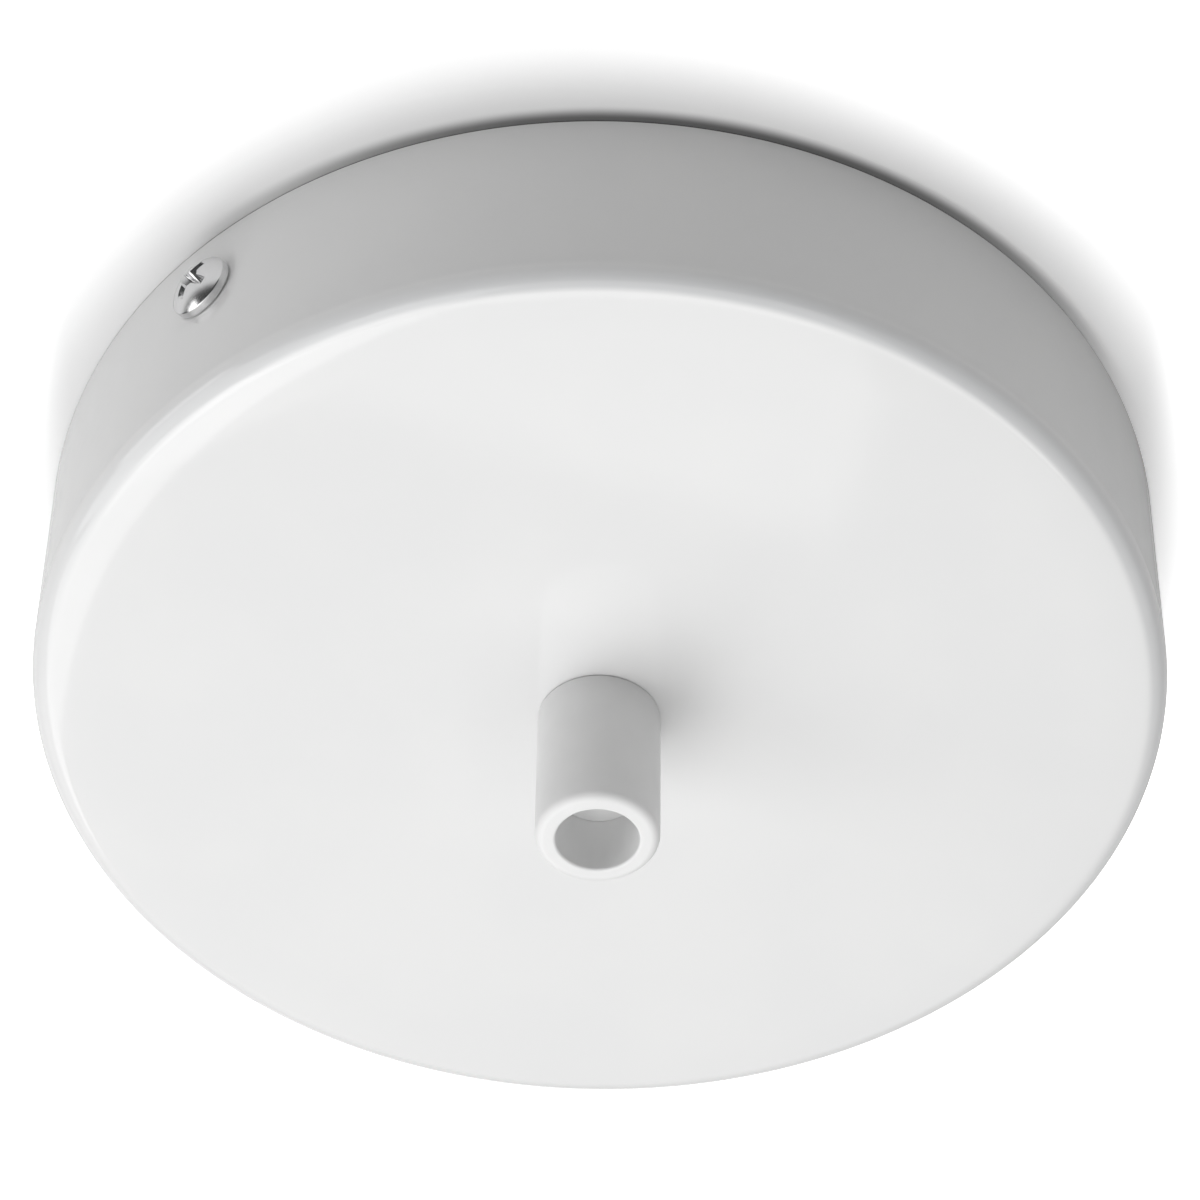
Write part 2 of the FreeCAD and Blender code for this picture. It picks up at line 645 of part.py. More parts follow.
def earth_washer():
    """A square clamp washer between the earth lug and the screw's head."""
    half = EARTH_WASHER_SIDE / 2
    low = Vector(-EARTH_LUG_OFFSET - half, LUG_FACE_Y - EARTH_WASHER_THICKNESS, -EARTH_SCREW_DROP - half)
    plate = Part.makeBox(EARTH_WASHER_SIDE, EARTH_WASHER_THICKNESS, EARTH_WASHER_SIDE, low)
    axis = Vector(-EARTH_LUG_OFFSET, LUG_FACE_Y, -EARTH_SCREW_DROP)
    hole = drilled(
        EARTH_SCREW_DIAMETER / 2 + HOLE_CLEARANCE,
        axis + Vector(0, CUT_MARGIN, 0),
        axis - Vector(0, EARTH_WASHER_THICKNESS + CUT_MARGIN, 0),
    )
    return plate.cut(hole)


def earth_screw():
    """The earth screw, through its clamp washer into the lug's collar."""
    screw = pan_screw(
        EARTH_HEAD_DIAMETER,
        EARTH_HEAD_HEIGHT,
        EARTH_HEAD_RIM,
        EARTH_SCREW_DIAMETER,
        EARTH_SCREW_LENGTH,
        cross_recess(EARTH_RECESS_WIDTH, EARTH_RECESS_DEPTH),
    )
    seat = Vector(-EARTH_LUG_OFFSET, LUG_FACE_Y - EARTH_WASHER_THICKNESS, -EARTH_SCREW_DROP)
    return aimed(screw, seat, Vector(0, -1, 0))


def pieces():
    """Every piece of the rose by name."""
    made = {
        "canopy": canopy(),
        "ceiling_bracket": ceiling_bracket(),
        "side_screw_left": side_screw(-1),
        "side_screw_right": side_screw(1),
        "threaded_nipple": threaded_nipple(),
        "nipple_nut": nipple_nut(),
        "nipple_lock_washer": lock_washer(),
        "grip_sleeve": grip_sleeve(),
        "grip_collet": grip_collet(),
        "terminal_housing": terminal_housing(),
        "earth_washer": earth_washer(),
        "earth_screw": earth_screw(),
    }
    for pole, y in enumerate(pole_lines(), 1):
        made[f"terminal_barrel_{pole}"] = terminal_barrel(y)
        made[f"clamp_screw_{pole}_left"] = clamp_screw(-TOWER_OFFSET, y)
        made[f"clamp_screw_{pole}_right"] = clamp_screw(TOWER_OFFSET, y)
    for number, y in enumerate(block_screw_lines(), 1):
        made[f"block_screw_{number}"] = block_screw(y)
    return made


def main():
    """Writes one STEP file for each piece."""
    os.makedirs("parts", exist_ok=True)
    for name, shape in pieces().items():
        solids = shape.Solids
        print(name, "solids", len(solids), "valid", shape.isValid(), "volume", round(shape.Volume, 2))
        shape.exportStep(f"parts/{name}.step")


main()
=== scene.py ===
"""Looks of a white electrical ceiling rose: enamelled canopy, moulded cord grip and the fittings behind it.

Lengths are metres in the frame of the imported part. The ceiling is the plane z = 0, +Z points up into it,
and the bracket runs along X.
"""

import json
import logging
import math
from abc import ABC, abstractmethod
from dataclasses import dataclass, field
from enum import Enum
from typing import Union

import bmesh
import bpy
import numpy as np
from mathutils import Matrix, Vector

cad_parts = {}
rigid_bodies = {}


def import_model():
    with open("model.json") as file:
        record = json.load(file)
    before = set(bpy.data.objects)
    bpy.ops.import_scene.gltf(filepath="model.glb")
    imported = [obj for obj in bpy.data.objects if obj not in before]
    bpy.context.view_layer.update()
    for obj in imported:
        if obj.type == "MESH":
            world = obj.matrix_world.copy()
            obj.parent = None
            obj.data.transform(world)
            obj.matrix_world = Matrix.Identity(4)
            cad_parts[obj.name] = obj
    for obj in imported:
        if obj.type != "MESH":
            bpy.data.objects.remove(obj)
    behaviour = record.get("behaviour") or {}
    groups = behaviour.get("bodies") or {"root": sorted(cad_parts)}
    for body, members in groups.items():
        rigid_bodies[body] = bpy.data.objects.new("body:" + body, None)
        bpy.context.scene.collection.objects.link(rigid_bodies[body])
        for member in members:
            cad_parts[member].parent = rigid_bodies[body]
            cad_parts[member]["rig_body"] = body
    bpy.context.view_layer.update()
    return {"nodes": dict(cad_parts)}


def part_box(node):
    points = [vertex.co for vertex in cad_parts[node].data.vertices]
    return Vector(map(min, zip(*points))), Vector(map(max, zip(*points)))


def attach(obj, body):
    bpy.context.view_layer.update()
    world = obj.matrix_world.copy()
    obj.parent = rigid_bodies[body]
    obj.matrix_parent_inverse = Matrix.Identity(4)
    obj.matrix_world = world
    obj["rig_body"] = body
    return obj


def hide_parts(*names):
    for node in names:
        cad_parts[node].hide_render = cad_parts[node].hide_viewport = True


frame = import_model()

LOG = logging.getLogger("ceiling_rose")
MM = 0.001
TURN = 2 * math.pi
SUPPORT = 0.15 * MM
SUPPORT_SHARE = 0.3
TINY = 1e-9
MERGE_DISTANCE = 0.001 * MM
FLAT_ANGLE = math.radians(0.5)
SHARP_ANGLE = math.radians(32)
EDGE_SEGMENTS = 2
FLAT_WEIGHT = 100
THREAD_FLAT = 0.12
THREAD_FLANK = 0.72
THREAD_DEPTH = 0.6
SIDE_HOLE_DROP = 8.2 * MM
CAMERA_AZIMUTH = -46.8
PHOTO_RIGHT = CAMERA_AZIMUTH + 90
RESIN_IOR = 1.46
SMOOTH_NOISE, SOFT_NOISE, RICH_NOISE = 1.0, 2.0, 3.0
CLOUD_BAND = (0.3, 0.7)
WHITE = (1.0, 1.0, 1.0, 1.0)
INNER_SIDE = "inner_side"
# Point attribute that holds the painted shade on the canopy's outer edge.
EDGE_SHADE_ATTRIBUTE = "thin_edge"

Colour = tuple[float, float, float, float]


class Slot(Enum):
    """The material slots of the record."""

    ENAMEL = "white_enamel"
    GRIP = "white_nylon"
    NICKEL = "bright_nickel"
    ZINC = "zinc_plate"
    TERMINAL = "terminal_nylon"
    BRASS = "brass"


class Side(Enum):
    """The two ends of the bracket, as the sign of X."""

    LEFT = -1
    RIGHT = 1


class Wire:
    """An output socket of a shader graph. Arithmetic on wires adds Math nodes to the graph."""

    def __init__(self, graph: "Graph", socket: bpy.types.NodeSocket) -> None:
        """Wraps one output socket of a graph."""
        self.graph = graph
        self.socket = socket

    def __add__(self, other: "Number") -> "Wire":
        """The sum of two values."""
        return self.graph.maths("ADD", self, other)

    def __sub__(self, other: "Number") -> "Wire":
        """This value less another."""
        return self.graph.maths("SUBTRACT", self, other)

    def __rsub__(self, other: "Number") -> "Wire":
        """Another value less this one."""
        return self.graph.maths("SUBTRACT", other, self)

    def __mul__(self, other: "Number") -> "Wire":
        """The product of two values."""
        return self.graph.maths("MULTIPLY", self, other)

    def __truediv__(self, other: "Number") -> "Wire":
        """This value divided by another."""
        return self.graph.maths("DIVIDE", self, other)

    def __rtruediv__(self, other: "Number") -> "Wire":
        """Another value divided by this one."""
        return self.graph.maths("DIVIDE", other, self)

    def __abs__(self) -> "Wire":
        """This value without its sign."""
        return self.graph.maths("ABSOLUTE", self, 0.0)

    __radd__ = __add__
    __rmul__ = __mul__

    def ramp(self, low: float, high: float) -> "Wire":
        """A smooth step from 0 at low to 1 at high."""
        settings = {"interpolation_type": "SMOOTHSTEP"}
        return self.graph.add("ShaderNodeMapRange", settings, {0: self, 1: low, 2: high})


Number = Union[Wire, float]


class Graph:
    """The nodes of one material or of the world."""

    def __init__(self, tree: bpy.types.NodeTree) -> None:
        """Empties a node tree and starts on it.

        Args:
            tree: the tree of a material or a world.
        """
        self.tree = tree
        self.tree.nodes.clear()

    def add(self, kind: str, settings: dict, sockets: dict, output: Union[int, str] = 0) -> Wire:
        """Adds a node.

        Args:
            kind: the node's type.
            settings: properties of the node, which are set first.
            sockets: input sockets by name or number, each with a value or a wire.
            output: the output that is wanted, by name or number.

        Returns:
            The wire from that output.
        """
        node = self.tree.nodes.new(kind)
        for name, value in settings.items():
            setattr(node, name, value)
        for key, value in sockets.items():
            if isinstance(value, Wire):
                self.tree.links.new(value.socket, node.inputs[key])
            else:
                node.inputs[key].default_value = value
        return Wire(self, node.outputs[output] if len(node.outputs) else None)

    def maths(self, operation: str, first: Number, second: Number) -> Wire:
        """One Math node."""
        return self.add("ShaderNodeMath", {"operation": operation}, {0: first, 1: second})

    def mix(self, factor: Number, first: Union[Wire, Colour], second: Union[Wire, Colour]) -> Wire:
        """A colour between two others: a factor of 0 gives the first and 1 the second."""
        return self.add("ShaderNodeMix", {"data_type": "RGBA"}, {0: factor, 6: first, 7: second}, 2)

    def place(self) -> Wire:
        """The point's place on its object."""
        return self.add("ShaderNodeTexCoord", {}, {}, "Object")

    def stretched(self, place: Wire, lengths: tuple[float, float, float]) -> Wire:
        """A place divided by the lengths that a pattern of wavelength 1 reaches along X, Y and Z."""
        return self.add("ShaderNodeVectorMath", {"operation": "DIVIDE"}, {0: place, 1: lengths})

    def along(self, place: Wire, direction: Vector) -> Wire:
        """How far a place lies along a direction, which is a unit vector."""
        inputs = {0: place, 1: tuple(direction)}
        return self.add("ShaderNodeVectorMath", {"operation": "DOT_PRODUCT"}, inputs, "Value")

    def noise(self, place: Wire, wavelength: float, detail: float = SOFT_NOISE) -> Wire:
        """Noise between 0 and 1, with its largest blotches as wide as the wavelength."""
        inputs = {"Vector": place, "Scale": 1 / wavelength, "Detail": detail}
        return self.add("ShaderNodeTexNoise", {}, inputs)

    def bump(self, height: Wire, depth: float) -> Wire:
        """A normal that is tilted by a height, with the real depth of a height of 1."""
        return self.add("ShaderNodeBump", {}, {"Height": height, "Strength": 1.0, "Distance": depth})


def blank_material(name: str) -> tuple[bpy.types.Material, Graph]:
    """Starts a material.

    Args:
        name: the material's name.

    Returns:
        The material and its empty graph.
    """
    made = bpy.data.materials.new(name)
    made.use_nodes = True
    return made, Graph(made.node_tree)


class Finish(ABC):
    """A surface finish that paints its own material."""

    name: str

    def material(self) -> bpy.types.Material:
        """Paints the finish on first use.

        Returns:
            The finish's material.
        """
        known = bpy.data.materials.get(self.name)
        if known is not None:
            return known
        made, graph = blank_material(self.name)
        surface = graph.add("ShaderNodeBsdfPrincipled", {}, self.sockets(graph))
        graph.add("ShaderNodeOutputMaterial", {}, {"Surface": surface})
        return made

    @abstractmethod
    def sockets(self, graph: Graph) -> dict:
        """What the shader's sockets get.

        Args:
            graph: the graph that patterns are added to.

        Returns:
            A value or a wire for each socket by name.
        """


@dataclass(frozen=True)
class Enamel(Finish):
    """Glossy stoved enamel with faint clouds and a little orange peel, thinner inside, with painted shade
    on its outer edge.
    """

    name: str = "stoved_enamel"
    light: Colour = (0.835, 0.835, 0.832, 1.0)
    cloud: Colour = (0.82, 0.821, 0.82, 1.0)
    # Darker colour of the thin inner coat, also used for the painted shade on the outer edge.
    thin_coat_and_shade: Colour = (0.66, 0.665, 0.67, 1.0)
    gloss: float = 0.05
    cloud_gloss: float = 0.02
    thin_gloss: float = 0.38
    spray_gloss: float = 0.2
    spray_band: tuple[float, float] = (0.35, 0.65)
    driest: float = 0.45
    cloud_size: float = 18 * MM
    peel_size: float = 1.6 * MM
    dust_size: float = 0.35 * MM
    peel_depth: float = 0.004 * MM

    def sockets(self, graph: Graph) -> dict:
        """Clouds tint the coat, orange peel bends its gloss, the inner side shows dry spray, and painted
        shade darkens the outer edge.

        Args:
            graph: the graph that patterns are added to.

        Returns:
            A value or a wire for each socket by name.
        """
        place = graph.place()
        inner = graph.add("ShaderNodeAttribute", {"attribute_name": INNER_SIDE}, {}, "Fac")
        # Painted shade over the outer edge, stronger on one side.
        edge = graph.add("ShaderNodeAttribute", {"attribute_name": EDGE_SHADE_ATTRIBUTE}, {}, "Fac")
        clouds = graph.noise(place, self.cloud_size)
        peel = graph.noise(place, self.peel_size, SMOOTH_NOISE)
        spray = graph.noise(place, self.dust_size, RICH_NOISE)
        coat = graph.mix(clouds.ramp(*CLOUD_BAND), self.light, self.cloud)
        # Dry spray on the inner side, plus the painted shade on the outer edge.
        dry_spray_and_shade = inner * (self.driest + (1 - self.driest) * spray.ramp(*self.spray_band)) + edge
        dry_gloss = self.thin_gloss - self.gloss + self.spray_gloss * spray
        return {
            "Base Color": graph.mix(dry_spray_and_shade, coat, self.thin_coat_and_shade),
            "Roughness": self.gloss + self.cloud_gloss * clouds + inner * dry_gloss,
            "IOR": RESIN_IOR,
            "Normal": graph.bump(peel + inner * spray, self.peel_depth),
        }


@dataclass(frozen=True)
class MouldedPlastic(Finish):
    """Moulded plastic: faint flow clouds and the fine grain of a spark-eroded mould."""

    name: str
    light: Colour
    cloud: Colour
    gloss: float
    flow_gloss: float = 0.05
    grain_gloss: float = 0.06
    cloud_size: float = 6 * MM
    grain_size: float = 0.22 * MM
    grain_depth: float = 0.003 * MM

    def sockets(self, graph: Graph) -> dict:
        """Flow clouds tint the plastic, and the grain of the mould breaks up its gloss.

        Args:
            graph: the graph that patterns are added to.

        Returns:
            A value or a wire for each socket by name.
        """
        place = graph.place()
        flow = graph.noise(place, self.cloud_size)
        grain = graph.noise(place, self.grain_size)
        return {
            "Base Color": graph.mix(flow.ramp(*CLOUD_BAND), self.light, self.cloud),
            "Roughness": self.gloss + self.flow_gloss * flow + self.grain_gloss * grain,
            "IOR": RESIN_IOR,
            "Normal": graph.bump(grain, self.grain_depth),
        }


@dataclass(frozen=True)
class Metal(Finish):
    """Plated or bare metal: tool marks drawn out along one axis, clouds of tarnish and fine scratches."""

    name: str
    bright: Colour
    dull: Colour
    gloss: float
    spread: float
    marks: tuple[float, float, float]
    tarnish_band: tuple[float, float] = (0.35, 0.75)
    tarnish_share: float = 0.75
    score_share: float = 0.6
    cloud_size: float = 4 * MM
    mark_depth: float = 0.002 * MM

    def sockets(self, graph: Graph) -> dict:
        """Clouds dull the metal, and tool marks roughen and score it.

        Args:
            graph: the graph that patterns are added to.

        Returns:
            A value or a wire for each socket by name.
        """
        place = graph.place()
        tarnish = graph.noise(place, self.cloud_size, RICH_NOISE).ramp(*self.tarnish_band)
        scores = graph.noise(graph.stretched(place, self.marks), 1.0, RICH_NOISE)
        dull = self.tarnish_share * tarnish + (1 - self.tarnish_share) * scores
        rough = self.score_share * scores + (1 - self.score_share) * tarnish
        return {
            "Base Color": graph.mix(dull, self.bright, self.dull),
            "Metallic": 1.0,
            "Roughness": self.gloss + self.spread * rough,
            "Normal": graph.bump(scores, self.mark_depth),
        }


ENAMEL = Enamel()
GRIP_PLASTIC = MouldedPlastic("grip_plastic", (0.845, 0.845, 0.843, 1), (0.825, 0.826, 0.824, 1), 0.4)
TERMINAL_PLASTIC = MouldedPlastic("terminal_plastic", (0.80, 0.78, 0.72, 1), (0.74, 0.72, 0.65, 1), 0.36)
NICKEL = Metal(
    "polished_nickel", (0.8, 0.8, 0.8, 1), (0.72, 0.72, 0.73, 1), 0.2, 0.06, (0.3 * MM, 2 * MM, 2 * MM)
)
ROLLED_ZINC = Metal(
    "rolled_zinc", (0.72, 0.74, 0.77, 1), (0.53, 0.55, 0.59, 1), 0.26, 0.24, (30 * MM, 0.3 * MM, 0.3 * MM)
)
TURNED_ZINC = Metal(
    "turned_zinc", (0.74, 0.75, 0.77, 1), (0.56, 0.58, 0.61, 1), 0.22, 0.2, (6 * MM, 6 * MM, 0.14 * MM)
)
TURNED_BRASS = Metal(
    "turned_brass", (0.83, 0.63, 0.31, 1), (0.62, 0.44, 0.20, 1), 0.2, 0.22, (0.14 * MM, 6 * MM, 6 * MM)
)


@dataclass
class Shell:
    """Points of a surface with its faces, and named values for each point."""

    points: np.ndarray
    quads: np.ndarray
    triangles: np.ndarray = field(default_factory=lambda: np.empty((0, 3), int))
    values: dict[str, np.ndarray] = field(default_factory=dict)

    def mesh(self, name: str) -> bpy.types.Mesh:
        """Puts the arrays into a smooth-shaded mesh.

        Args:
            name: the mesh's name.

        Returns:
            The mesh.
        """
        corners = np.concatenate([self.quads.ravel(), self.triangles.ravel()])
        sizes = np.repeat([4, 3], [len(self.quads), len(self.triangles)])
        mesh = bpy.data.meshes.new(name)
        mesh.vertices.add(len(self.points))
        mesh.vertices.foreach_set("co", self.points.ravel())
        mesh.loops.add(len(corners))
        mesh.loops.foreach_set("vertex_index", corners)
        mesh.polygons.add(len(sizes))
        mesh.polygons.foreach_set("loop_start", np.cumsum(sizes) - sizes)
        mesh.polygons.foreach_set("use_smooth", np.ones(len(sizes), bool))
        for key, value in self.values.items():
            mesh.attributes.new(key, "FLOAT", "POINT").data.foreach_set("value", value)
        mesh.update(calc_edges=True)
        mesh.validate()
        return mesh


def grid_quads(ids: np.ndarray, wrap_rows: bool = False) -> np.ndarray:
    """Quads of a grid whose columns wrap round.

    Each quad runs along a row and then to the next row, so it faces along
    (column direction) x (row direction).

    Args:
        ids: point numbers by row and column.
        wrap_rows: whether the last row joins the first.

    Returns:
        Point numbers of each quad, by row, column and corner.
    """
    ahead = np.roll(ids, -1, axis=1)
    here, above = (ids, ahead), (np.roll(ahead, -1, axis=0), np.roll(ids, -1, axis=0))
    quads = np.stack([*here, *above], axis=-1)
    return quads if wrap_rows else quads[:-1]


def round_axis(r: np.ndarray, z: np.ndarray, angles: np.ndarray) -> np.ndarray:
    """Points at radius r and height z, turned about the Z axis: (r cos a, r sin a, z).

    Args:
        r: radii, by row or by row and column.
        z: heights, by row or by row and column.
        angles: the angle of each column.

    Returns:
        Points by row, column and axis.
    """
    rows = (len(r), len(angles))
    r = np.broadcast_to(r.reshape(len(r), -1), rows)
    z = np.broadcast_to(z.reshape(len(z), -1), rows)
    return np.stack([r * np.cos(angles), r * np.sin(angles), z], axis=-1)


def even_angles(columns: int) -> np.ndarray:
    """Evenly spaced angles round one turn."""
    return np.arange(columns) * (TURN / columns)


def looped_shell(points: np.ndarray) -> Shell:
    """A surface whose rows and columns both wrap round, such as a turned ring.

    Args:
        points: points by row, column and axis.

    Returns:
        The closed surface.
    """
    rows, columns = points.shape[:2]
    quads = grid_quads(np.arange(rows * columns).reshape(rows, columns), wrap_rows=True)
    return Shell(points.reshape(-1, 3), quads.reshape(-1, 4))


def capped_shell(points: np.ndarray) -> Shell:
    """A surface whose columns wrap round and whose first and last rows close on a pole.

    Args:
        points: points by row, column and axis.

    Returns:
        The closed surface, with each pole at the mean of its row.
    """
    rows, columns = points.shape[:2]
    ids = np.arange(rows * columns).reshape(rows, columns)
    first, last = ids[0], ids[-1]
    low, high = np.full(columns, rows * columns), np.full(columns, rows * columns + 1)
    fans = [
        np.stack([np.roll(first, -1), first, low], axis=-1),
        np.stack([last, np.roll(last, -1), high], axis=-1),
    ]
    poles = [points[0].mean(axis=0, keepdims=True), points[-1].mean(axis=0, keepdims=True)]
    every = np.concatenate([points.reshape(-1, 3), *poles])
    return Shell(every, grid_quads(ids).reshape(-1, 4), np.concatenate(fans))


@dataclass(frozen=True)
class Corner:
    """A corner of a section: its radius from the axis, its height, its rounding and the arc's steps."""

    r: float
    z: float
    rounding: float
    steps: int = 4


def corner_arc(before: np.ndarray, corner: Corner, after: np.ndarray) -> np.ndarray:
    """The arc that rounds a corner and touches both of its sides.

    Its centre is on the bisector, rounding / sin(half the corner's angle) from the corner, and its points
    turn evenly from one touching point to the other.

    Args:
        before: the previous corner's place.
        corner: the corner.
        after: the next corner's place.

    Returns:
        Points (r, z) along the arc.
    """
    here = np.array([corner.r, corner.z])
    back, ahead = (side / np.linalg.norm(side) for side in (before - here, after - here))
    half = math.acos(float(np.clip(back @ ahead, -1, 1))) / 2
    reach = corner.rounding / math.tan(half)
    middle = (back + ahead) / np.linalg.norm(back + ahead)
    centre = here + middle * (corner.rounding / math.sin(half))
    start, end = here + back * reach - centre, here + ahead * reach - centre
    turn = math.pi - 2 * half
    t = np.linspace(0, 1, corner.steps + 1)[:, None]
    return centre + (np.sin((1 - t) * turn) * start + np.sin(t * turn) * end) / math.sin(turn)


def section(corners: list[Corner], inserted: Union[dict[int, np.ndarray], None] = None) -> np.ndarray:
    """A closed outline in the r-z half plane, counter-clockwise, with its corners rounded.

    Every straight stretch gets a point close to either end, so that smooth shading stays within the arcs.

    Args:
        corners: the corners in order.
        inserted: extra points (r, z) on the stretch after a corner, by the corner's number.

    Returns:
        Points (r, z) of the outline.
    """
    inserted = inserted or {}
    places = np.array([(corner.r, corner.z) for corner in corners])
    sides = zip(np.roll(places, 1, axis=0), corners, np.roll(places, -1, axis=0))
    arcs = [corner_arc(*side) for side in sides]
    rows = []
    for number, arc in enumerate(arcs):
        start, end = arc[-1], arcs[(number + 1) % len(arcs)][0]
        inset = min(SUPPORT / np.linalg.norm(end - start), SUPPORT_SHARE) * (end - start)
        rows += [arc, start[None] + inset, inserted.get(number, np.empty((0, 2))), end[None] - inset]
    return np.concatenate(rows)


def thread_radius(angles: np.ndarray, heights: np.ndarray, crest: float, pitch: float) -> np.ndarray:
    """Radius of a right-hand vee thread.

    The height over the pitch less the angle over a turn gives the place in the thread's wave. A triangle
    wave with short flats then leads from the root to the crest.

    Args:
        angles: the angle of each column.
        heights: the height of each row.
        crest: the radius at the crest.
        pitch: the rise of one turn.

    Returns:
        Radii by row and column.
    """
    phase = (heights[:, None] / pitch - angles / TURN) % 1.0
    flank = np.clip((np.abs(2 * phase - 1) - THREAD_FLAT) / THREAD_FLANK, 0, 1)
    return crest - THREAD_DEPTH * pitch * (1 - flank)


def add_piece(name: str, mesh: bpy.types.Mesh, finish: Finish, node: str) -> bpy.types.Object:
    """Adds a finished mesh that stands for a CAD node and moves with its body.

    Args:
        name: the piece's name.
        mesh: its mesh, in place.
        finish: its surface finish.
        node: the CAD node that it stands for.

    Returns:
        The piece.
    """
    piece = bpy.data.objects.new(name, mesh)
    bpy.context.scene.collection.objects.link(piece)
    mesh.materials.clear()
    mesh.materials.append(finish.material())
    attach(piece, frame["nodes"][node]["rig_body"])
    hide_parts(node)
    LOG.info("%s stands for %s with %d faces", name, node, len(mesh.polygons))
    return piece


def softened_copy(node: str, finish: Finish, edge: float) -> None:
    """Stands a copy of a CAD solid in its place, with edges broken as a press tool or a mould leaves them.

    Args:
        node: the CAD node.
        finish: the surface finish.
        edge: how wide the broken edges are.
    """
    form = bmesh.new()
    form.from_mesh(frame["nodes"][node].data)
    bmesh.ops.remove_doubles(form, verts=form.verts, dist=MERGE_DISTANCE)
    bmesh.ops.dissolve_limit(form, angle_limit=FLAT_ANGLE, verts=form.verts, edges=form.edges)
    mesh = bpy.data.meshes.new(node + "_form")
    form.to_mesh(mesh)
    form.free()
    mesh.polygons.foreach_set("use_smooth", np.ones(len(mesh.polygons), bool))
    mesh.set_sharp_from_angle(angle=SHARP_ANGLE)
    piece = add_piece(node + "_form", mesh, finish, node)
    bevel = piece.modifiers.new("broken_edges", "BEVEL")
    bevel.width = edge
    bevel.segments = EDGE_SEGMENTS
    bevel.limit_method = "ANGLE"
    bevel.angle_limit = SHARP_ANGLE
    bevel.use_clamp_overlap = False
    flats = piece.modifiers.new("flat_faces", "WEIGHTED_NORMAL")
    flats.weight = FLAT_WEIGHT
    flats.keep_sharp = True


@dataclass
class Canopy:
    """The deep-drawn cup: flat face, rounded edge, straight wall, a centre hole and two side holes."""

    wall: float = 1.0 * MM
    edge_radius: float = 2.5 * MM
    hole_radius: float = 5.25 * MM
    side_hole_radius: float = 2.25 * MM
    side_hole_drop: float = SIDE_HOLE_DROP
    rim_rounding: float = 0.12 * MM
    ease_start: float = 52.5 * MM
    ease_rise: float = 0.16 * MM
    hole_rounding: float = 0.2 * MM
    hole_edge: float = 0.06 * MM
    hole_margin: float = 0.4 * MM
    hole_blend: tuple[float, ...] = (0.35, 0.7, 1.0)
    edge_steps: int = 28
    inner_edge_steps: int = 14
    ease_rows: int = 16
    # Turns where the painted edge shade grows and fades, the side where it is strongest, and its even and
    # one-sided shares.
    shade_grows: tuple[float, float] = (23.0, 31.0)
    shade_fades: tuple[float, float] = (52.0, 78.0)
    shaded_side: float = -122.0
    shade_even_share: float = 0.25
    shade_side_share: float = 0.8
    columns: int = 360
    patch_columns: int = 5
    patch_half_height: float = 5.0 * MM
    patch_rows: int = 10

    def __post_init__(self) -> None:
        """Takes the outer radius and the face's level from the frame."""
        low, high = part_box("canopy")
        self.radius = (high.x - low.x) / 2
        self.face_z = low.z

    def profile(self) -> tuple[np.ndarray, int]:
        """The cup's section, with rows on both faces of the wall for the side holes.

        Returns:
            Points (r, z) of the section, and the first row on its inner side.
        """
        inner, floor = self.radius - self.wall, self.face_z + self.wall
        half = self.patch_half_height
        levels = -self.side_hole_drop + np.linspace(-half, half, self.patch_rows + 1)
        outer_rows = np.stack([np.full_like(levels, self.radius), levels], axis=-1)
        inner_rows = np.stack([np.full_like(levels, inner), levels[::-1]], axis=-1)
        corners = [
            Corner(self.hole_radius, self.face_z, self.hole_rounding),
            Corner(self.radius, self.face_z, self.edge_radius, self.edge_steps),
            Corner(self.radius, 0.0, self.rim_rounding),
            Corner(inner, 0.0, self.rim_rounding),
            Corner(inner, floor, self.edge_radius - self.wall, self.inner_edge_steps),
            Corner(self.hole_radius, floor, self.hole_rounding),
        ]
        face_end = self.radius - self.edge_radius
        face_r = np.linspace(self.ease_start, face_end, self.ease_rows, endpoint=False)
        face_rows = np.stack([face_r, np.full_like(face_r, self.face_z)], axis=-1)
        points = self.eased(section(corners, {0: face_rows, 1: outer_rows, 3: inner_rows}))
        return points, self.row_at(points, inner, levels[-1])

    def eased(self, points: np.ndarray) -> np.ndarray:
        """Lets the drawn face curve up a little before its edge.

        The rise is (distance past the start / distance from the start to the edge arc) squared times the
        rise at the arc, and it fades to nothing up the arc with the square of the height left on it.

        Args:
            points: points (r, z) of the section.

        Returns:
            The points with the rise added.
        """
        reach = self.radius - self.edge_radius - self.ease_start
        past = np.clip((points[:, 0] - self.ease_start) / reach, 0, None)
        left = np.clip((self.face_z + self.edge_radius - points[:, 1]) / self.edge_radius, 0, 1)
        outside = np.arange(len(points)) < np.argmax(points[:, 1])
        rise = self.ease_rise * past**2 * left**2 * outside
        return points + np.stack([np.zeros_like(rise), rise], axis=-1)

    def thin_edge(self, points: np.ndarray, angles: np.ndarray) -> np.ndarray:
        """How much painted shade darkens the enamel over the outer edge.

        The height above the face over the edge's radius gives the arc's turn, 1 - cos(turn). The painted
        shade grows between two turns near the face and fades between two turns near the wall. It is
        stronger on one side, so it is weighted by an even share and by the cosine of the angle from the
        shaded side.

        Args:
            points: points (r, z) of the section.
            angles: the angle of each column.

        Returns:
            By row and column, 0 where there is no painted shade and 1 where it is deepest.
        """
        outside = np.arange(len(points)) < np.argmax(points[:, 1])
        rise = np.clip((points[:, 1] - self.face_z) / self.edge_radius, 0, 1)
        turn = np.degrees(np.arccos(1 - rise))
        bands = (self.shade_grows, self.shade_fades)
        grow, fade = (np.clip((turn - low) / (high - low), 0, 1) for low, high in bands)
        rows = np.where(outside & (points[:, 0] > self.ease_start), grow * (1 - fade), 0.0)
        lean = self.shade_even_share + self.shade_side_share * np.cos(angles - math.radians(self.shaded_side))
        return np.outer(rows, np.clip(lean, 0, 1))

    @staticmethod
    def row_at(points: np.ndarray, r: float, z: float) -> int:
        """The row of a section that lies nearest to a place."""
        return int(np.argmin(np.hypot(points[:, 0] - r, points[:, 1] - z)))

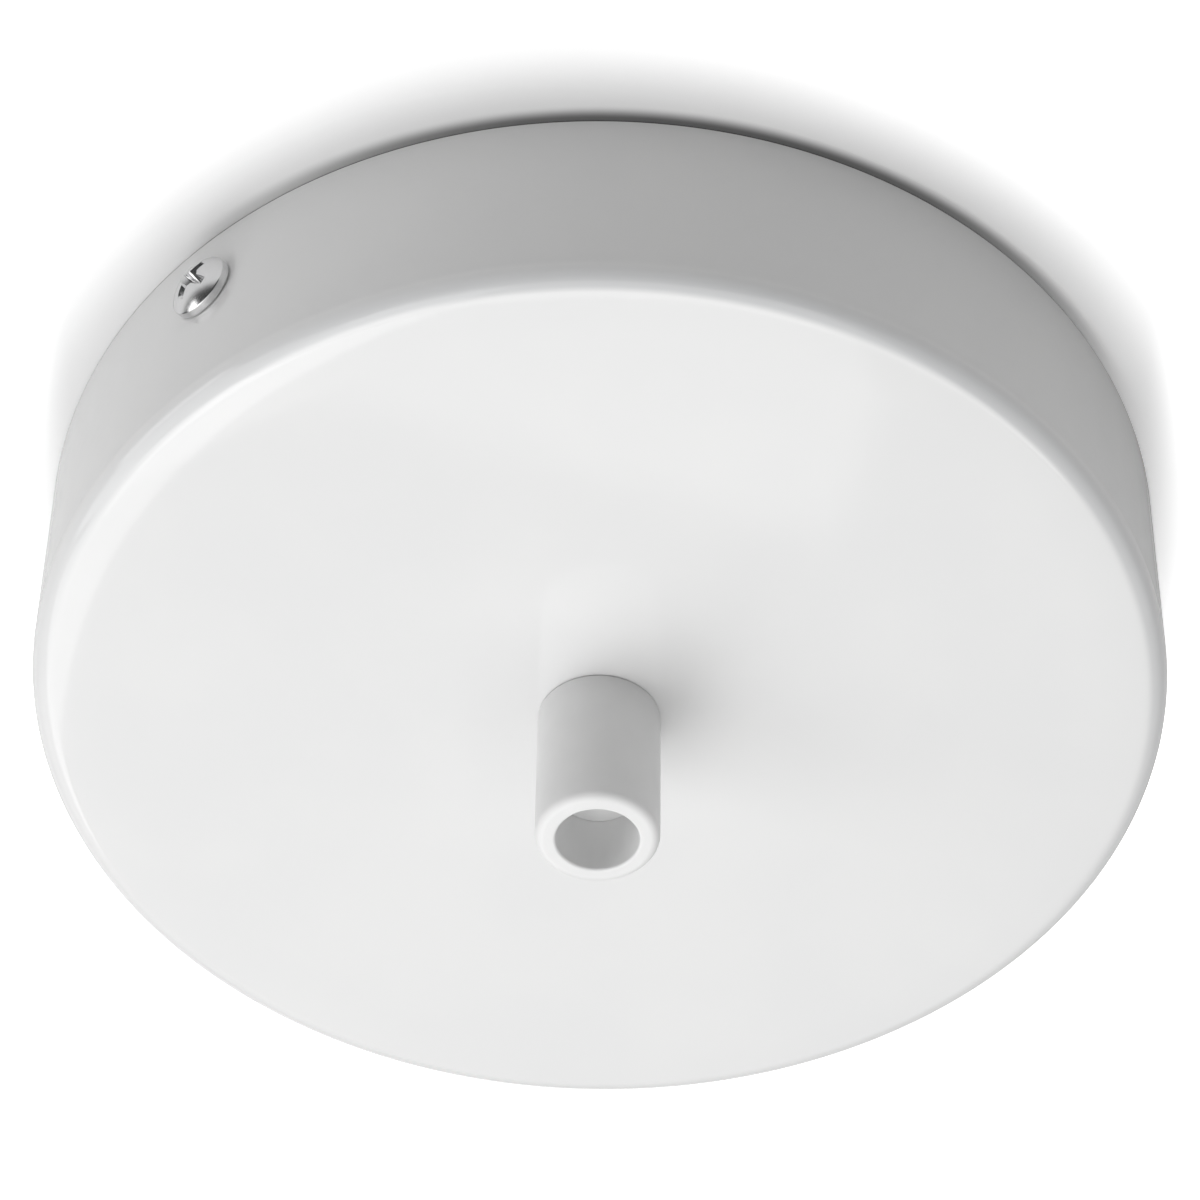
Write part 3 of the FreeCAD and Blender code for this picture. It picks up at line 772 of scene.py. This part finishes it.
    @staticmethod
    def rectangle(ids: np.ndarray, rows: np.ndarray, span: np.ndarray) -> np.ndarray:
        """Goes round a rectangle of a grid: along its low row, up, back along its high row and down.

        Args:
            ids: point numbers by row and column.
            rows: the rectangle's rows.
            span: its columns.

        Returns:
            The point numbers in that order.
        """
        sides = [ids[rows[0], span[:-1]], ids[rows[:-1], span[-1]]]
        sides += [ids[rows[-1], span[:0:-1]], ids[rows[:0:-1], span[0]]]
        return np.concatenate(sides)

    def hole_rings(self, outer: np.ndarray, inner: np.ndarray, bearing: float) -> np.ndarray:
        """Rings that lead from a rectangle on the outer wall through a round hole to one on the inner wall.

        Each ring keeps the angle of the rectangle's points about the hole's axis. On a wall face a ring
        blends from the rectangle to a circle, and its depth is that of the wall's cylinder:
        x = sqrt(R^2 - y^2).

        Args:
            outer: the rectangle on the outer wall.
            inner: the rectangle on the inner wall.
            bearing: the hole's direction about the Z axis.

        Returns:
            Points by ring, place and axis.
        """
        turned = np.array(Matrix.Rotation(bearing, 3, "Z"))
        start, end = outer @ turned, inner @ turned
        angles = np.arctan2(start[:, 2] + self.side_hole_drop, start[:, 1])

        def circle(r: float) -> np.ndarray:
            """Places (y, z) on a circle about the hole's axis."""
            return np.stack([r * np.cos(angles), r * np.sin(angles) - self.side_hole_drop], axis=-1)

        def on_wall(place: np.ndarray, r: float, depth: float = 0.0) -> np.ndarray:
            """Places (y, z) laid on a cylinder of radius r, and sunk towards the axis."""
            return np.column_stack([np.sqrt(r**2 - place[:, 0] ** 2) - depth, place])

        rough = circle(self.side_hole_radius + self.hole_margin)
        fine = circle(self.side_hole_radius + self.hole_edge)
        bore = circle(self.side_hole_radius)
        back = self.radius - self.wall
        rings = [on_wall((1 - t) * start[:, 1:] + t * rough, self.radius) for t in self.hole_blend]
        rings += [on_wall(fine, self.radius), on_wall(bore, self.radius, self.hole_edge)]
        rings += [on_wall(bore, back, -self.hole_edge), on_wall(fine, back)]
        rings += [on_wall((1 - t) * end[:, 1:] + t * rough, back) for t in self.hole_blend[::-1]]
        return np.stack(rings) @ turned.T

    def shell(self) -> Shell:
        """The turned cup, with a patch of rings let into its wall at each side hole.

        Returns:
            The closed surface.
        """
        profile, inner_top = self.profile()
        rows, columns = len(profile), self.columns
        angles = even_angles(columns)
        points = round_axis(profile[:, 0], profile[:, 1], angles).reshape(-1, 3)
        ids = np.arange(rows * columns).reshape(rows, columns)
        keep = np.ones((rows, columns), bool)
        lowest = -self.side_hole_drop - self.patch_half_height
        steps = np.arange(self.patch_rows + 1)
        outer_rows = self.row_at(profile, self.radius, lowest) + steps
        inner_rows = inner_top + steps[::-1]
        inner = (np.repeat(np.arange(rows), columns) >= inner_top - 1).astype(float)
        patches, quads = [], []
        for middle in (0, columns // 2):
            span = (middle + np.arange(-self.patch_columns, self.patch_columns + 1)) % columns
            keep[np.ix_(outer_rows[:-1], span[:-1])] = False
            keep[np.ix_(inner_rows[1:], span[:-1])] = False
            outer_loop, inner_loop = (self.rectangle(ids, part, span) for part in (outer_rows, inner_rows))
            rings = self.hole_rings(points[outer_loop], points[inner_loop], middle * TURN / columns)
            first = rows * columns + sum(patch.shape[0] * patch.shape[1] for patch in patches)
            numbers = first + np.arange(rings.shape[0] * rings.shape[1]).reshape(rings.shape[:2])
            patches.append(rings)
            quads.append(grid_quads(np.vstack([outer_loop, numbers, inner_loop])).reshape(-1, 4))
        ring_side = (np.arange(patches[0].shape[0]) >= patches[0].shape[0] // 2).astype(float)
        inner = np.concatenate([inner, *[np.repeat(ring_side, patch.shape[1]) for patch in patches]])
        # Painted edge shade for each point of the turned rows, and none on the hole patches.
        edge = np.zeros(len(inner))
        edge[:rows * columns] = self.thin_edge(profile, angles).ravel()
        wall = grid_quads(ids, wrap_rows=True)[keep]
        every = np.concatenate([points, *[patch.reshape(-1, 3) for patch in patches]])
        return Shell(every, np.concatenate([wall, *quads]), values={INNER_SIDE: inner, EDGE_SHADE_ATTRIBUTE: edge})

    def build(self) -> None:
        """Stands the enamelled cup in the canopy's place."""
        add_piece("canopy_shell", self.shell().mesh("canopy_shell"), ENAMEL, "canopy")


@dataclass
class CordGrip:
    """The moulded sleeve below the face, with the split collet that shows in its bore."""

    bore_radius: float = 4.35 * MM
    bore_depth: float = 7.0 * MM
    thread_radius: float = 5.0 * MM
    cone_height: float = 1.5 * MM
    edge_radius: float = 1.0 * MM
    bore_edge_radius: float = 0.3 * MM
    top_edge_radius: float = 0.2 * MM
    seat_rounding: float = 0.02 * MM
    bore_draft: float = 0.035 * MM
    collet_edge: float = 0.03 * MM
    bore_edge_steps: int = 8
    edge_steps: int = 16
    columns: int = 192

    def sleeve(self) -> Shell:
        """The sleeve's section, turned: cord bore, conical seat and thread bore inside, one rounded foot.

        Returns:
            The closed surface.
        """
        low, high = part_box("grip_sleeve")
        outer, seat = (high.x - low.x) / 2, low.z + self.bore_depth
        corners = [
            Corner(self.bore_radius, low.z, self.bore_edge_radius, self.bore_edge_steps),
            Corner(outer, low.z, self.edge_radius, self.edge_steps),
            Corner(outer, high.z, self.top_edge_radius),
            Corner(self.thread_radius, high.z, self.top_edge_radius),
            Corner(self.thread_radius, seat + self.cone_height, self.seat_rounding),
            Corner(self.bore_radius - self.bore_draft, seat + self.bore_draft, self.seat_rounding),
        ]
        outline = section(corners)
        return looped_shell(round_axis(outline[:, 0], outline[:, 1], even_angles(self.columns)))

    def build(self) -> None:
        """Stands the sleeve and the collet in their places."""
        sleeve = self.sleeve().mesh("sleeve")
        add_piece("grip_sleeve_moulding", sleeve, GRIP_PLASTIC, "grip_sleeve")
        softened_copy("grip_collet", GRIP_PLASTIC, self.collet_edge)


@dataclass
class PanScrew:
    """A pan-head screw with a cross recess, along +Z with its head's seat at z = 0. It is M4 by default."""

    node: str
    finish: Finish
    slot: Slot
    seat: Vector
    direction: Vector
    length: float
    head_diameter: float
    head_height: float
    recess_width: float
    recess_depth: float = 1.9 * MM
    head_rim: float = 0.9 * MM
    diameter: float = 4.0 * MM
    pitch: float = 0.7 * MM
    clocking: float = 0.0
    recess_tip: float = 1.4 * MM
    arm_share: float = 0.94
    toe_reach: float = 0.82
    toe_depth: float = 0.68
    blade: float = 1.0 * MM
    tip_chamfer: float = 0.5 * MM
    thread_slack: float = 0.06 * MM
    neck: float = 0.3 * MM
    neck_fillet: float = 0.1 * MM
    seat_rim: float = 0.2 * MM
    crown_edge: float = 0.97
    floor_shares: tuple[float, float] = (0.98, 0.3)
    edge: float = 0.06 * MM
    rim_rounding: float = 0.18 * MM
    rim_steps: int = 5
    arm_columns: int = 4
    gap_columns: int = 9
    crown_rows: int = 14
    rows_per_pitch: int = 8

    def __post_init__(self) -> None:
        """Works out the crown's sphere and how far an arm of the recess reaches on it."""
        self.head = self.head_diameter / 2
        crown = self.head_height - self.head_rim
        self.sphere = (self.head**2 + crown**2) / (2 * crown)
        self.arm = self.arm_share * self.recess_width / 2

    def angles(self) -> np.ndarray:
        """Column angles that fall on every corner of the cross, in eight mirrored stretches.

        Returns:
            The angles, in order round one turn.
        """
        corner = math.atan2(self.blade / 2, self.arm)
        first = np.linspace(0, corner, self.arm_columns, endpoint=False)
        second = np.linspace(corner, TURN / 8, self.gap_columns, endpoint=False)
        eighth = np.concatenate([first, second])
        quarter = np.concatenate([eighth, TURN / 4 - np.append(eighth, TURN / 8)[:0:-1]])
        return np.concatenate([quarter + turn * TURN / 4 for turn in range(4)])

    @staticmethod
    def from_arm(angles: np.ndarray) -> np.ndarray:
        """The angle between each direction and the nearest arm of the cross."""
        return np.abs((angles + TURN / 8) % (TURN / 4) - TURN / 8)

    def crown(self, r: Union[np.ndarray, float]) -> Union[np.ndarray, float]:
        """Height of the domed crown at a radius, on its sphere."""
        return self.head_height - self.sphere + np.sqrt(self.sphere**2 - r**2)

    def cross(self, angles: np.ndarray, arm: float, core: float) -> np.ndarray:
        """Radius of a cross with a round core: the arm's end or side, whichever the ray meets first.

        Args:
            angles: directions from the axis.
            arm: half the length of an arm.
            core: the radius of the core.

        Returns:
            The radius in each direction.
        """
        folded = self.from_arm(angles)
        side = self.blade / 2 / np.maximum(np.sin(folded), TINY)
        return np.maximum(np.minimum(arm / np.cos(folded), side), core)

    def recess_rows(self, angles: np.ndarray) -> list[tuple[np.ndarray, np.ndarray]]:
        """Rows of the recess from the crown down to its floor.

        The floor of an arm rises gently from the tip to a toe near the arm's end, and steeply from there to
        where it runs out on the crown. The walls stand on the cross-shaped outline, leaning out a little
        round the core.

        Args:
            angles: the angle of each column.

        Returns:
            Radii and heights of each row.
        """
        tip, bottom = self.recess_tip / 2, self.head_height - self.recess_depth
        mouth = self.cross(angles, self.arm, self.blade)
        foot = self.cross(angles, self.toe_reach * self.arm, tip) - self.edge / 2
        folded = self.from_arm(angles)
        toe = self.head_height - self.toe_depth * self.recess_depth
        rising = np.interp(foot * np.cos(folded), [tip, self.toe_reach * self.arm], [bottom, toe])
        floor = np.minimum(rising, self.crown(mouth) - self.edge)
        flat = np.full_like(angles, bottom)
        outer, inner = (share * np.minimum(foot, tip) for share in self.floor_shares)
        return [
            (mouth + self.edge, self.crown(mouth + self.edge)),
            (mouth, self.crown(mouth) - self.edge / 2),
            (foot, floor),
            (outer, np.minimum(floor, flat)),
            (inner, flat),
        ]

    def rows(self, angles: np.ndarray) -> tuple[np.ndarray, np.ndarray]:
        """Radii and heights of the whole screw, from its tip to the middle of the recess.

        Args:
            angles: the angle of each column.

        Returns:
            Radii and heights, each by row and column.
        """
        shank = self.diameter / 2 - self.thread_slack
        count = int(self.rows_per_pitch * self.length / self.pitch)
        heights = np.linspace(-self.length, -self.neck, count)
        cone = shank - self.tip_chamfer + (heights + self.length)
        threads = np.minimum(thread_radius(angles, heights, shank, self.pitch), cone[:, None])
        near_rim = self.crown_edge * self.head
        rim = corner_arc(
            np.array([self.head, 0.0]),
            Corner(self.head, self.head_rim, self.rim_rounding, self.rim_steps),
            np.array([near_rim, self.crown(near_rim)]),
        )
        mid_thread = shank - THREAD_DEPTH / 2 * self.pitch
        under = [(mid_thread, -self.neck_fillet), (shank + self.neck_fillet, 0.0)]
        under += [(self.head - self.seat_rim, 0.0), (self.head - self.edge, 0.0)]
        under += [(self.head, self.edge), (self.head, 3 * self.edge)]
        plain = np.concatenate([np.array(under), rim])
        recess = self.recess_rows(angles)
        share = np.linspace(1, 0, self.crown_rows, endpoint=False)[1:, None]
        crown_r = recess[0][0] + share * (rim[-1, 0] - recess[0][0])
        even = np.ones_like(angles)
        bands = [(threads, heights[:, None] * even), (plain[:, :1] * even, plain[:, 1:] * even)]
        bands += [(crown_r, self.crown(crown_r)), *((r[None], z[None]) for r, z in recess)]
        return tuple(np.concatenate(parts) for parts in zip(*bands))

    def build(self) -> None:
        """Stands the screw in its node's place, aimed along its direction."""
        angles = self.angles()
        r, z = self.rows(angles)
        points = round_axis(r, z, angles + math.radians(self.clocking))
        turn = np.array(Vector((0, 0, 1)).rotation_difference(self.direction).to_matrix())
        shell = capped_shell(points @ turn.T + np.array(self.seat))
        add_piece(self.node + "_turned", shell.mesh(self.node), self.finish, self.node)


@dataclass
class SideScrew(PanScrew):
    """A bright screw through the canopy's wall."""

    length: float = 8.0 * MM
    head_diameter: float = 7.2 * MM
    head_height: float = 2.3 * MM
    recess_width: float = 4.8 * MM
    clocking: float = 47.0
    blade: float = 1.08 * MM


@dataclass
class EarthScrew(PanScrew):
    """The brass screw of the earth terminal."""

    length: float = 7.0 * MM
    head_diameter: float = 7.0 * MM
    head_height: float = 2.6 * MM
    recess_width: float = 4.6 * MM
    clocking: float = 20.0


@dataclass
class BlockScrew(PanScrew):
    """An M3 screw that holds the terminal block."""

    head_diameter: float = 5.4 * MM
    head_height: float = 2.0 * MM
    recess_width: float = 3.4 * MM
    recess_depth: float = 1.4 * MM
    head_rim: float = 0.7 * MM
    diameter: float = 3.0 * MM
    pitch: float = 0.5 * MM


@dataclass
class NippleSet:
    """The threaded nipple through the canopy, with its hexagon nut and toothed washer."""

    bore_radius: float = 4.0 * MM
    pitch: float = 1.0 * MM
    chamfer: float = 0.4 * MM
    nut_flat: float = 7.0 * MM
    nut_bore: float = 5.0 * MM
    nut_countersink: float = 0.35 * MM
    nut_cone: float = 30.0
    edge: float = 0.08 * MM
    washer_edge: float = 0.1 * MM
    columns: int = 120
    rows_per_pitch: int = 10
    nut_columns: int = 16

    def nipple(self) -> Shell:
        """A tube whose outer face is a thread, cut back to a cone at both ends.

        Returns:
            The closed surface.
        """
        low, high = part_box("threaded_nipple")
        crest = (high.x - low.x) / 2
        angles = even_angles(self.columns)
        heights = np.linspace(low.z, high.z, int(self.rows_per_pitch * (high.z - low.z) / self.pitch))
        end = np.minimum(heights - low.z, high.z - heights)[:, None]
        threads = np.minimum(thread_radius(angles, heights, crest, self.pitch), crest - self.chamfer + end)
        bore = np.array([high.z, high.z - SUPPORT, low.z + SUPPORT, low.z])
        flat = np.ones((len(bore), self.columns))
        r = np.concatenate([threads, flat * self.bore_radius])
        z = np.concatenate([np.repeat(heights[:, None], self.columns, axis=1), flat * bore[:, None]])
        return looped_shell(round_axis(r, z, angles))

    def nut(self) -> Shell:
        """A hexagon nut: r = flat / cos(angle from the flat's middle), with a cone at both faces.

        Returns:
            The closed surface.
        """
        low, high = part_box("nipple_nut")
        t = np.arange(self.nut_columns) / self.nut_columns
        side = (TURN / 12) * (1 - np.cos(math.pi * t))
        angles = np.concatenate([side + number * TURN / 6 for number in range(6)])
        hexagon = self.nut_flat / np.cos(angles % (TURN / 6) - TURN / 12)
        drop = (hexagon - self.nut_flat) * math.tan(math.radians(self.nut_cone))
        even = np.ones_like(angles)
        sink, soft = self.nut_countersink, self.edge
        half = [
            (self.nut_bore * even, sink + soft),
            (self.nut_bore * even, sink),
            ((self.nut_bore + sink) * even, 0.0),
            ((self.nut_bore + sink + soft) * even, 0.0),
            ((self.nut_flat - 2 * soft) * even, 0.0),
            ((self.nut_flat - soft) * even, soft / 4),
            (hexagon - soft / 2, drop + soft / 2),
            (hexagon, drop + 1.5 * soft),
        ]
        lower = [(r, low.z + rise * even) for r, rise in half]
        upper = [(r, high.z - rise * even) for r, rise in half[::-1]]
        r, z = (np.stack(rows) for rows in zip(*lower, *upper))
        return looped_shell(round_axis(r, z, angles))

    def build(self) -> None:
        """Stands the nipple, the nut and the washer in their places."""
        add_piece("nipple_thread", self.nipple().mesh("nipple"), TURNED_ZINC, "threaded_nipple")
        add_piece("nipple_nut_hexagon", self.nut().mesh("nut"), TURNED_ZINC, "nipple_nut")
        softened_copy("nipple_lock_washer", TURNED_ZINC, self.washer_edge)


@dataclass
class SideScrews:
    """The two bright screws through the canopy's wall into the bracket's tabs."""

    drop: float = SIDE_HOLE_DROP
    seat_gap: float = 0.05 * MM

    def build(self) -> None:
        """Stands both screws in their places."""
        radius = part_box("canopy")[1].x
        for side in Side:
            name = f"side_screw_{side.name.lower()}"
            seat = Vector((side.value * (radius + self.seat_gap), 0, -self.drop))
            SideScrew(name, NICKEL, Slot.NICKEL, seat, Vector((side.value, 0, 0))).build()


@dataclass
class Bracket:
    """The bent strip with its earth terminal."""

    lug_offset: float = 16.0 * MM
    earth_drop: float = 8.5 * MM
    broken_edge: float = 0.16 * MM

    def build(self) -> None:
        """Stands the strip, the earth washer and the earth screw in their places."""
        softened_copy("ceiling_bracket", ROLLED_ZINC, self.broken_edge)
        softened_copy("earth_washer", ROLLED_ZINC, self.broken_edge)
        seat = Vector((-self.lug_offset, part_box("earth_washer")[0].y, -self.earth_drop))
        EarthScrew("earth_screw", TURNED_BRASS, Slot.BRASS, seat, Vector((0, -1, 0))).build()


@dataclass
class TerminalBlock:
    """The moulded terminal housing with its brass barrels, clamp screws and block screws."""

    poles: int = 3
    block_screws: int = 2
    housing_edge: float = 0.07 * MM
    barrel_edge: float = 0.04 * MM
    clamp_edge: float = 0.06 * MM

    def build(self) -> None:
        """Stands every piece of the block in its place."""
        softened_copy("terminal_housing", TERMINAL_PLASTIC, self.housing_edge)
        for pole in range(1, self.poles + 1):
            softened_copy(f"terminal_barrel_{pole}", TURNED_BRASS, self.barrel_edge)
            for side in Side:
                node = f"clamp_screw_{pole}_{side.name.lower()}"
                softened_copy(node, TURNED_ZINC, self.clamp_edge)
        for number in range(1, self.block_screws + 1):
            self.block_screw(f"block_screw_{number}")

    def block_screw(self, node: str) -> None:
        """Stands one block screw in its place, head down.

        Args:
            node: the screw's CAD node.
        """
        low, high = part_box(node)
        seat = Vector(((low.x + high.x) / 2, (low.y + high.y) / 2, low.z + BlockScrew.head_height))
        BlockScrew(node, TURNED_ZINC, Slot.ZINC, seat, Vector((0, 0, -1)), high.z - seat.z).build()


@dataclass
class Ceiling:
    """The pale ceiling round the rose, open behind the canopy. The camera sees through it from above."""

    gap: float = 0.06 * MM
    opening: float = 59.95 * MM
    skirt: float = 0.08 * MM
    rings: tuple[float, ...] = (0.064, 0.075, 0.1, 0.2, 0.6, 3.0)
    columns: int = 180
    plaster: Colour = (0.74, 0.74, 0.74, 1.0)
    far_plaster: Colour = (0.3, 0.3, 0.3, 1.0)
    far_reach: tuple[float, float] = (0.1, 0.24)
    shadow_gap: Colour = (0.02, 0.02, 0.02, 1.0)
    shown: float = 1.0
    shown_side: float = 0.55
    side_reach: tuple[float, float] = (-26 * MM, 78 * MM)
    rim_share: float = 0.84
    ring_share: float = 0.3
    ring_reach: tuple[float, float] = (60.5 * MM, 70 * MM)
    flank_share: float = 0.4
    flank_reach: tuple[float, float] = (56.5 * MM, 63 * MM)
    contact_share: float = 0.82
    contact_bearing: float = 12.0
    contact_spread: tuple[float, float] = (0.45, 1.02)
    contact_reach: tuple[float, float] = (60.3 * MM, 61.9 * MM)
    cloud_share: float = 0.02
    plaster_size: float = 40 * MM

    @staticmethod
    def matt(graph: Graph, colour: Union[Wire, Colour]) -> None:
        """Ends a graph in a matt surface that only the camera sees through, and only from behind.

        Args:
            graph: the material's graph.
            colour: the surface's colour or a wire that carries it.
        """
        front = graph.add("ShaderNodeBsdfDiffuse", {}, {"Color": colour})
        clear = graph.add("ShaderNodeBsdfTransparent", {}, {})
        camera = graph.add("ShaderNodeLightPath", {}, {}, "Is Camera Ray")
        behind = graph.add("ShaderNodeNewGeometry", {}, {}, "Backfacing")
        surface = graph.add("ShaderNodeMixShader", {}, {0: behind * camera, 1: front, 2: clear})
        graph.add("ShaderNodeOutputMaterial", {}, {"Surface": surface})

    def plaster_material(self) -> bpy.types.Material:
        """Matt plaster, exposed for the camera as in the photograph.

        It is brighter to the photograph's right and away from the rose, and has a soft contact shadow.

        Returns:
            The material.
        """
        made, graph = blank_material("ceiling_plaster")
        place = graph.place()
        side = graph.along(place, bearing_vector(PHOTO_RIGHT, 0))
        near = graph.along(place, bearing_vector(CAMERA_AZIMUTH + self.contact_bearing, 0))
        ring = graph.add("ShaderNodeVectorMath", {"operation": "LENGTH"}, {0: place}, "Value")
        exposed = self.shown + self.shown_side * side.ramp(*self.side_reach)
        exposed = exposed * (1 + self.flank_share * abs(side).ramp(*self.flank_reach))
        faded = self.rim_share + self.ring_share * ring.ramp(*self.ring_reach)
        depth = self.contact_share * (near / ring).ramp(*self.contact_spread)
        contact = 1 - depth * (1 - ring.ramp(*self.contact_reach))
        clouds = 1 - self.cloud_share * graph.noise(place, self.plaster_size)
        camera = graph.add("ShaderNodeLightPath", {}, {}, "Is Camera Ray")
        dimmed = graph.mix(ring.ramp(*self.far_reach), self.plaster, self.far_plaster)
        self.matt(graph, graph.mix(camera, dimmed, exposed * faded * contact * clouds))
        return made

    def build(self) -> None:
        """Lays a flat ring that faces down, with a short dark skirt that shuts the gap at the rim."""
        radii = np.array([self.opening, self.opening, *self.rings])
        heights = np.full(len(radii), self.gap)
        heights[0] = self.gap - self.skirt
        points = round_axis(radii, heights, even_angles(self.columns))
        ids = np.arange(len(radii) * self.columns).reshape(len(radii), self.columns)
        mesh = Shell(points.reshape(-1, 3), grid_quads(ids).reshape(-1, 4)).mesh("ceiling")
        mesh.polygons.foreach_set("use_smooth", np.zeros(len(mesh.polygons), bool))
        mesh.materials.append(self.plaster_material())
        dark, graph = blank_material("ceiling_shadow_gap")
        self.matt(graph, self.shadow_gap)
        mesh.materials.append(dark)
        in_gap = np.arange(len(mesh.polygons)) < self.columns
        mesh.polygons.foreach_set("material_index", in_gap.astype(np.int32))
        plane = bpy.data.objects.new("ceiling", mesh)
        bpy.context.scene.collection.objects.link(plane)


@dataclass
class PhotoCamera:
    """The photograph's camera: its bearing and dip about the rose, its distance, aim and lens."""

    azimuth: float = CAMERA_AZIMUTH
    elevation: float = -47.52
    roll: float = -0.9
    distance: float = 547.0 * MM
    aim_right: float = -0.19 * MM
    aim_up: float = -4.30 * MM
    lens: float = 150.0
    sensor: float = 36.0

    def build(self) -> None:
        """Stands the camera on its bearing, rolled a little about its own axis."""
        data = bpy.data.cameras.new("photo_camera")
        data.lens, data.sensor_width = self.lens, self.sensor
        camera = bpy.data.objects.new("photo_camera", data)
        bpy.context.scene.collection.objects.link(camera)
        back = bearing_vector(self.azimuth, self.elevation)
        aim = (-back).to_track_quat("-Z", "Y").to_matrix()
        turn = aim @ Matrix.Rotation(math.radians(-self.roll), 3, "Z")
        offset = Vector((self.aim_right, self.aim_up, self.distance))
        camera.matrix_world = Matrix.Translation(turn @ offset) @ turn.to_4x4()
        bpy.context.scene.camera = camera


def bearing_vector(azimuth: float, elevation: float) -> Vector:
    """The unit vector towards a bearing: azimuth 0 is -Y and 90 is +X, elevation is above the horizon."""
    a, e = math.radians(azimuth), math.radians(elevation)
    return Vector((math.sin(a) * math.cos(e), -math.cos(a) * math.cos(e), math.sin(e)))


@dataclass(frozen=True)
class SoftBox:
    """A large soft light aimed at the rose. Its bearing is measured from the camera's own."""

    name: str
    bearing: float
    elevation: float
    radiance: float
    width: float
    height: float
    distance: float = 0.9

    def build(self) -> None:
        """Hangs the light, hidden from the camera itself."""
        data = bpy.data.lights.new(self.name, "AREA")
        data.shape = "RECTANGLE"
        data.size, data.size_y = self.width, self.height
        data.energy = self.radiance * math.pi * self.width * self.height
        light = bpy.data.objects.new(self.name, data)
        bpy.context.scene.collection.objects.link(light)
        towards = bearing_vector(CAMERA_AZIMUTH + self.bearing, self.elevation)
        light.location = towards * self.distance
        light.rotation_mode = "QUATERNION"
        light.rotation_quaternion = (-towards).to_track_quat("-Z", "Y")
        light.visible_camera = False


@dataclass
class Studio:
    """Soft boxes below the ceiling and a pale world."""

    # Name, bearing, elevation, radiance, width, height and distance.
    boxes: tuple[SoftBox, ...] = (
        SoftBox("key", -137.0, -48.0, 1.73, 0.53, 0.55),
        SoftBox("panel", -162.0, -66.0, 0.915, 0.55, 0.46, 0.98),
        SoftBox("under", 180.0, -89.0, 1.22, 0.95, 0.95),
        SoftBox("left", -88.0, -35.0, 1.45, 0.6, 0.5),
        SoftBox("left_low", -78.0, -15.0, 1.96, 0.4, 0.24),
        SoftBox("left_deep", -90.0, -66.0, 1.36, 0.6, 0.45),
        SoftBox("right", 90.0, -45.0, 0.38, 1.0, 0.9),
    )
    below: float = 0.2
    mirrored: float = 0.05
    above: float = 0.9
    backdrop: float = 0.86
    horizon: float = 0.05

    def build(self) -> None:
        """Hangs the lights and paints the world."""
        for box in self.boxes:
            box.build()
        world = bpy.data.worlds.new("pale_room")
        world.use_nodes = True
        bpy.context.scene.world = world
        graph = Graph(world.node_tree)
        direction = graph.add("ShaderNodeTexCoord", {}, {}, "Generated")
        height = graph.add("ShaderNodeSeparateXYZ", {}, {0: direction}, "Z")
        camera = graph.add("ShaderNodeLightPath", {}, {}, "Is Camera Ray")
        mirror = graph.add("ShaderNodeLightPath", {}, {}, "Is Glossy Ray")
        below = self.below - (self.below - self.mirrored) * mirror
        light = below + (self.above - below) * height.ramp(-self.horizon, self.horizon)
        shown = light + camera * (self.backdrop - light)
        surface = graph.add("ShaderNodeBackground", {}, {"Color": WHITE, "Strength": shown})
        graph.add("ShaderNodeOutputWorld", {}, {"Surface": surface})
        bpy.context.scene.view_settings.view_transform = "Standard"
        bpy.context.scene.view_settings.look = "None"


def main() -> None:
    """Builds the stage, then every sub-assembly in order."""
    logging.basicConfig(level=logging.INFO, format="%(message)s")
    stage = (PhotoCamera(), Ceiling(), Studio())
    rose = (Canopy(), CordGrip(), NippleSet(), SideScrews(), Bracket(), TerminalBlock())
    for assembly in (*stage, *rose):
        LOG.info("building %s", type(assembly).__name__)
        assembly.build()


if __name__ == "__main__":
    main()
